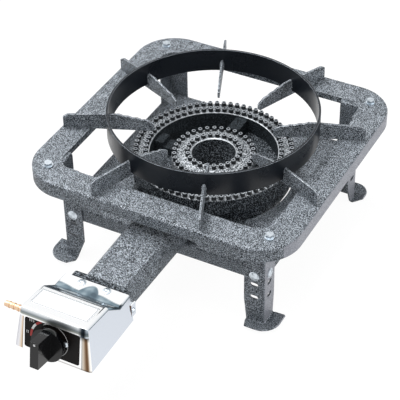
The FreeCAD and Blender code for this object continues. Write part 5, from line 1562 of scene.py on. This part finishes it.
@dataclass
class Fasteners:
    """The plated bolts, nuts and screws."""

    nodes: tuple[str, ...] = (
        "corner_bolts", "corner_nuts", "leg_screws", "leg_nuts", "burner_screws",
        "panel_screws", "cover_top_screws", "cover_side_screws", "bracket_screws",
    )
    cover_head: ScrewHead = ScrewHead(flange=5.6, height=3.0)
    cover_seat: tuple[float, float, float] = (18.2, -326.0, 143.3)
    leg_head: ScrewHead = ScrewHead(flange=7.3, height=3.4)
    leg_face: float = 156.5
    leg_offset: float = 141.0
    leg_height: float = 82.5

    def build(self) -> None:
        """Dress every fastener, and give the domed screws their flanges and recesses."""
        dress_nodes(ZINC, *self.nodes)
        x, y, z = self.cover_seat
        seats = [(Vector((side * x, y, z)), UP) for side in (-1, 1)]
        self.cover_head.build("cover_screw_heads", "cover_top_screws", seats)
        self.leg_head.build("leg_screw_heads", "leg_screws", self.leg_seats())

    def leg_seats(self) -> Iterator[tuple[Vector, Vector]]:
        """Lay out the screws on both arms of every leg.

        Returns:
            Each screw's seat in millimetres, and the way that it faces.
        """
        for side, other in product((-1, 1), (-1, 1)):
            face, offset = side * self.leg_face, other * self.leg_offset
            yield Vector((face, offset, self.leg_height)), Vector((side, 0, 0))
            yield Vector((offset, face, self.leg_height)), Vector((0, side, 0))


# The studio

@dataclass(frozen=True)
class Lamp:
    """One soft rectangular lamp: its place by angles in degrees, its size in metres, its watts."""

    name: str
    angles: tuple[float, float]
    distance: float
    size: tuple[float, float]
    power: float


@dataclass
class Studio:
    """The camera at the photograph's angle, the soft lamps, the backdrop and the floor.

    Distances and places are in metres.
    """

    azimuth: float = 27.99
    elevation: float = 38.96
    roll: float = -0.70
    distance: float = 1.9264
    target: tuple[float, float, float] = (0.06158, -0.13501, 0.168)
    focal_px: float = 1459.6
    centre_px: float = 208.0
    picture_px: float = 400.0
    sensor_mm: float = 36.0
    lamp_target: tuple[float, float, float] = (0.0, -0.1, 0.15)
    lamps: tuple[Lamp, ...] = (
        Lamp("left_softbox", (262.0, 62.0), 2.2, (1.6, 1.1), 45.0),
        Lamp("right_softbox", (95.0, 24.0), 2.2, (1.5, 0.9), 16.0),
        Lamp("front_softbox", (8.0, 58.0), 1.6, (1.2, 0.8), 10.0),
    )
    fill: float = 0.225
    floor_size: float = 14.0
    floor_height: float = -0.0002
    floor_glow: float = 0.95
    floor_seen: str = "595959"
    floor_colour: str = "bcbdbf"

    def build(self) -> None:
        """Set up the camera, the lamps, the world and the floor."""
        self.build_camera()
        for lamp in self.lamps:
            self.build_lamp(lamp)
        self.build_world()
        self.build_floor()
        bpy.context.scene.view_settings.view_transform = "Standard"

    def direction(self, azimuth: float, elevation: float) -> Vector:
        """Give the way from the object to a place.

        Args:
            azimuth: The angle from the front, counter-clockwise from above, in degrees.
            elevation: The angle above the floor in degrees.

        Returns:
            A vector of length 1.
        """
        turn, rise = math.radians(azimuth), math.radians(elevation)
        return Vector((
            math.sin(turn) * math.cos(rise), -math.cos(turn) * math.cos(rise), math.sin(rise),
        ))

    def build_camera(self) -> None:
        """Place the camera where the photograph was taken from."""
        data = bpy.data.cameras.new("photo_camera")
        data.sensor_width = self.sensor_mm
        data.lens = self.focal_px / self.picture_px * self.sensor_mm
        data.shift_x = -(self.centre_px - self.picture_px / 2) / self.picture_px
        camera = bpy.data.objects.new("photo_camera", data)
        back = self.direction(self.azimuth, self.elevation)
        camera.location = Vector(self.target) + back * self.distance
        aim = (-back).to_track_quat("-Z", "Y").to_matrix().to_4x4()
        level = Matrix.Rotation(math.radians(self.roll), 4, "Z")
        camera.rotation_euler = (aim @ level).to_euler()
        bpy.context.scene.collection.objects.link(camera)
        bpy.context.scene.camera = camera

    def build_lamp(self, lamp: Lamp) -> None:
        """Hang one lamp that faces the stand.

        Args:
            lamp: The lamp.
        """
        data = bpy.data.lights.new(lamp.name, "AREA")
        data.shape = "RECTANGLE"
        data.size, data.size_y = lamp.size
        data.energy = lamp.power
        hung = bpy.data.objects.new(lamp.name, data)
        way = self.direction(*lamp.angles)
        hung.location = Vector(self.lamp_target) + way * lamp.distance
        hung.rotation_euler = way.to_track_quat("Z", "Y").to_euler()
        bpy.context.scene.collection.objects.link(hung)

    def shown_and_lighting(
        self, tree: bpy.types.NodeTree, lighting: bpy.types.Node, shown: bpy.types.Node
    ) -> bpy.types.Node:
        """Show one shader to the eye and light the object by another.

        Args:
            tree: The node tree.
            lighting: What the object is lit by.
            shown: What camera rays, mirrored rays and rays let through meet.

        Returns:
            The shader of both.
        """
        path = add_node(tree, "ShaderNodeLightPath").outputs
        share = path["Is Camera Ray"]
        for ray in ("Is Glossy Ray", "Is Transmission Ray"):
            share = add_node(
                tree, "ShaderNodeMath", [share, path[ray]], {"operation": "MAXIMUM"}
            )
        return add_node(tree, "ShaderNodeMixShader", [share, lighting, shown])

    def build_world(self) -> None:
        """Make the backdrop white to the eye and a plain soft fill on the object."""
        world = bpy.data.worlds.new("studio")
        world.use_nodes = True
        tree = world.node_tree
        tree.nodes.clear()
        fill, white = (
            add_node(tree, "ShaderNodeBackground", {
                "Color": linear("ffffff"), "Strength": strength,
            })
            for strength in (self.fill, 1.0)
        )
        both = self.shown_and_lighting(tree, fill, white)
        add_node(tree, "ShaderNodeOutputWorld", {"Surface": both})
        bpy.context.scene.world = world

    def build_floor(self) -> None:
        """Lay the pale floor, which keeps the stand's soft shadow."""
        bm = bmesh.new()
        bmesh.ops.create_grid(bm, x_segments=1, y_segments=1, size=self.floor_size / 2)
        mesh = bpy.data.meshes.new("studio_floor")
        bm.to_mesh(mesh)
        bm.free()
        floor = bpy.data.objects.new("studio_floor", mesh)
        floor.location.z = self.floor_height
        bpy.context.scene.collection.objects.link(floor)
        paper = bpy.data.materials.new("matte_white_paper")
        paper.use_nodes = True
        tree = paper.node_tree
        tree.nodes.clear()
        matte, seen = (
            add_node(tree, "ShaderNodeBsdfDiffuse", {"Color": linear(colour)})
            for colour in (self.floor_colour, self.floor_seen)
        )
        glow = add_node(tree, "ShaderNodeEmission", {
            "Color": linear("ffffff"), "Strength": self.floor_glow,
        })
        lit = add_node(tree, "ShaderNodeAddShader", [seen, glow])
        both = self.shown_and_lighting(tree, matte, lit)
        add_node(tree, "ShaderNodeOutputMaterial", {"Surface": both})
        mesh.materials.append(paper)


def main() -> None:
    """Build every part of the scene in order."""
    logging.basicConfig(level=logging.INFO, format="%(message)s")
    for part in (Studio(), Stand(), Burner(), PotSupport(), ValveBox(), Knob(), Fasteners()):
        part.build()
        LOG.info("%s is built", type(part).__name__)


if __name__ == "__main__":
    main()
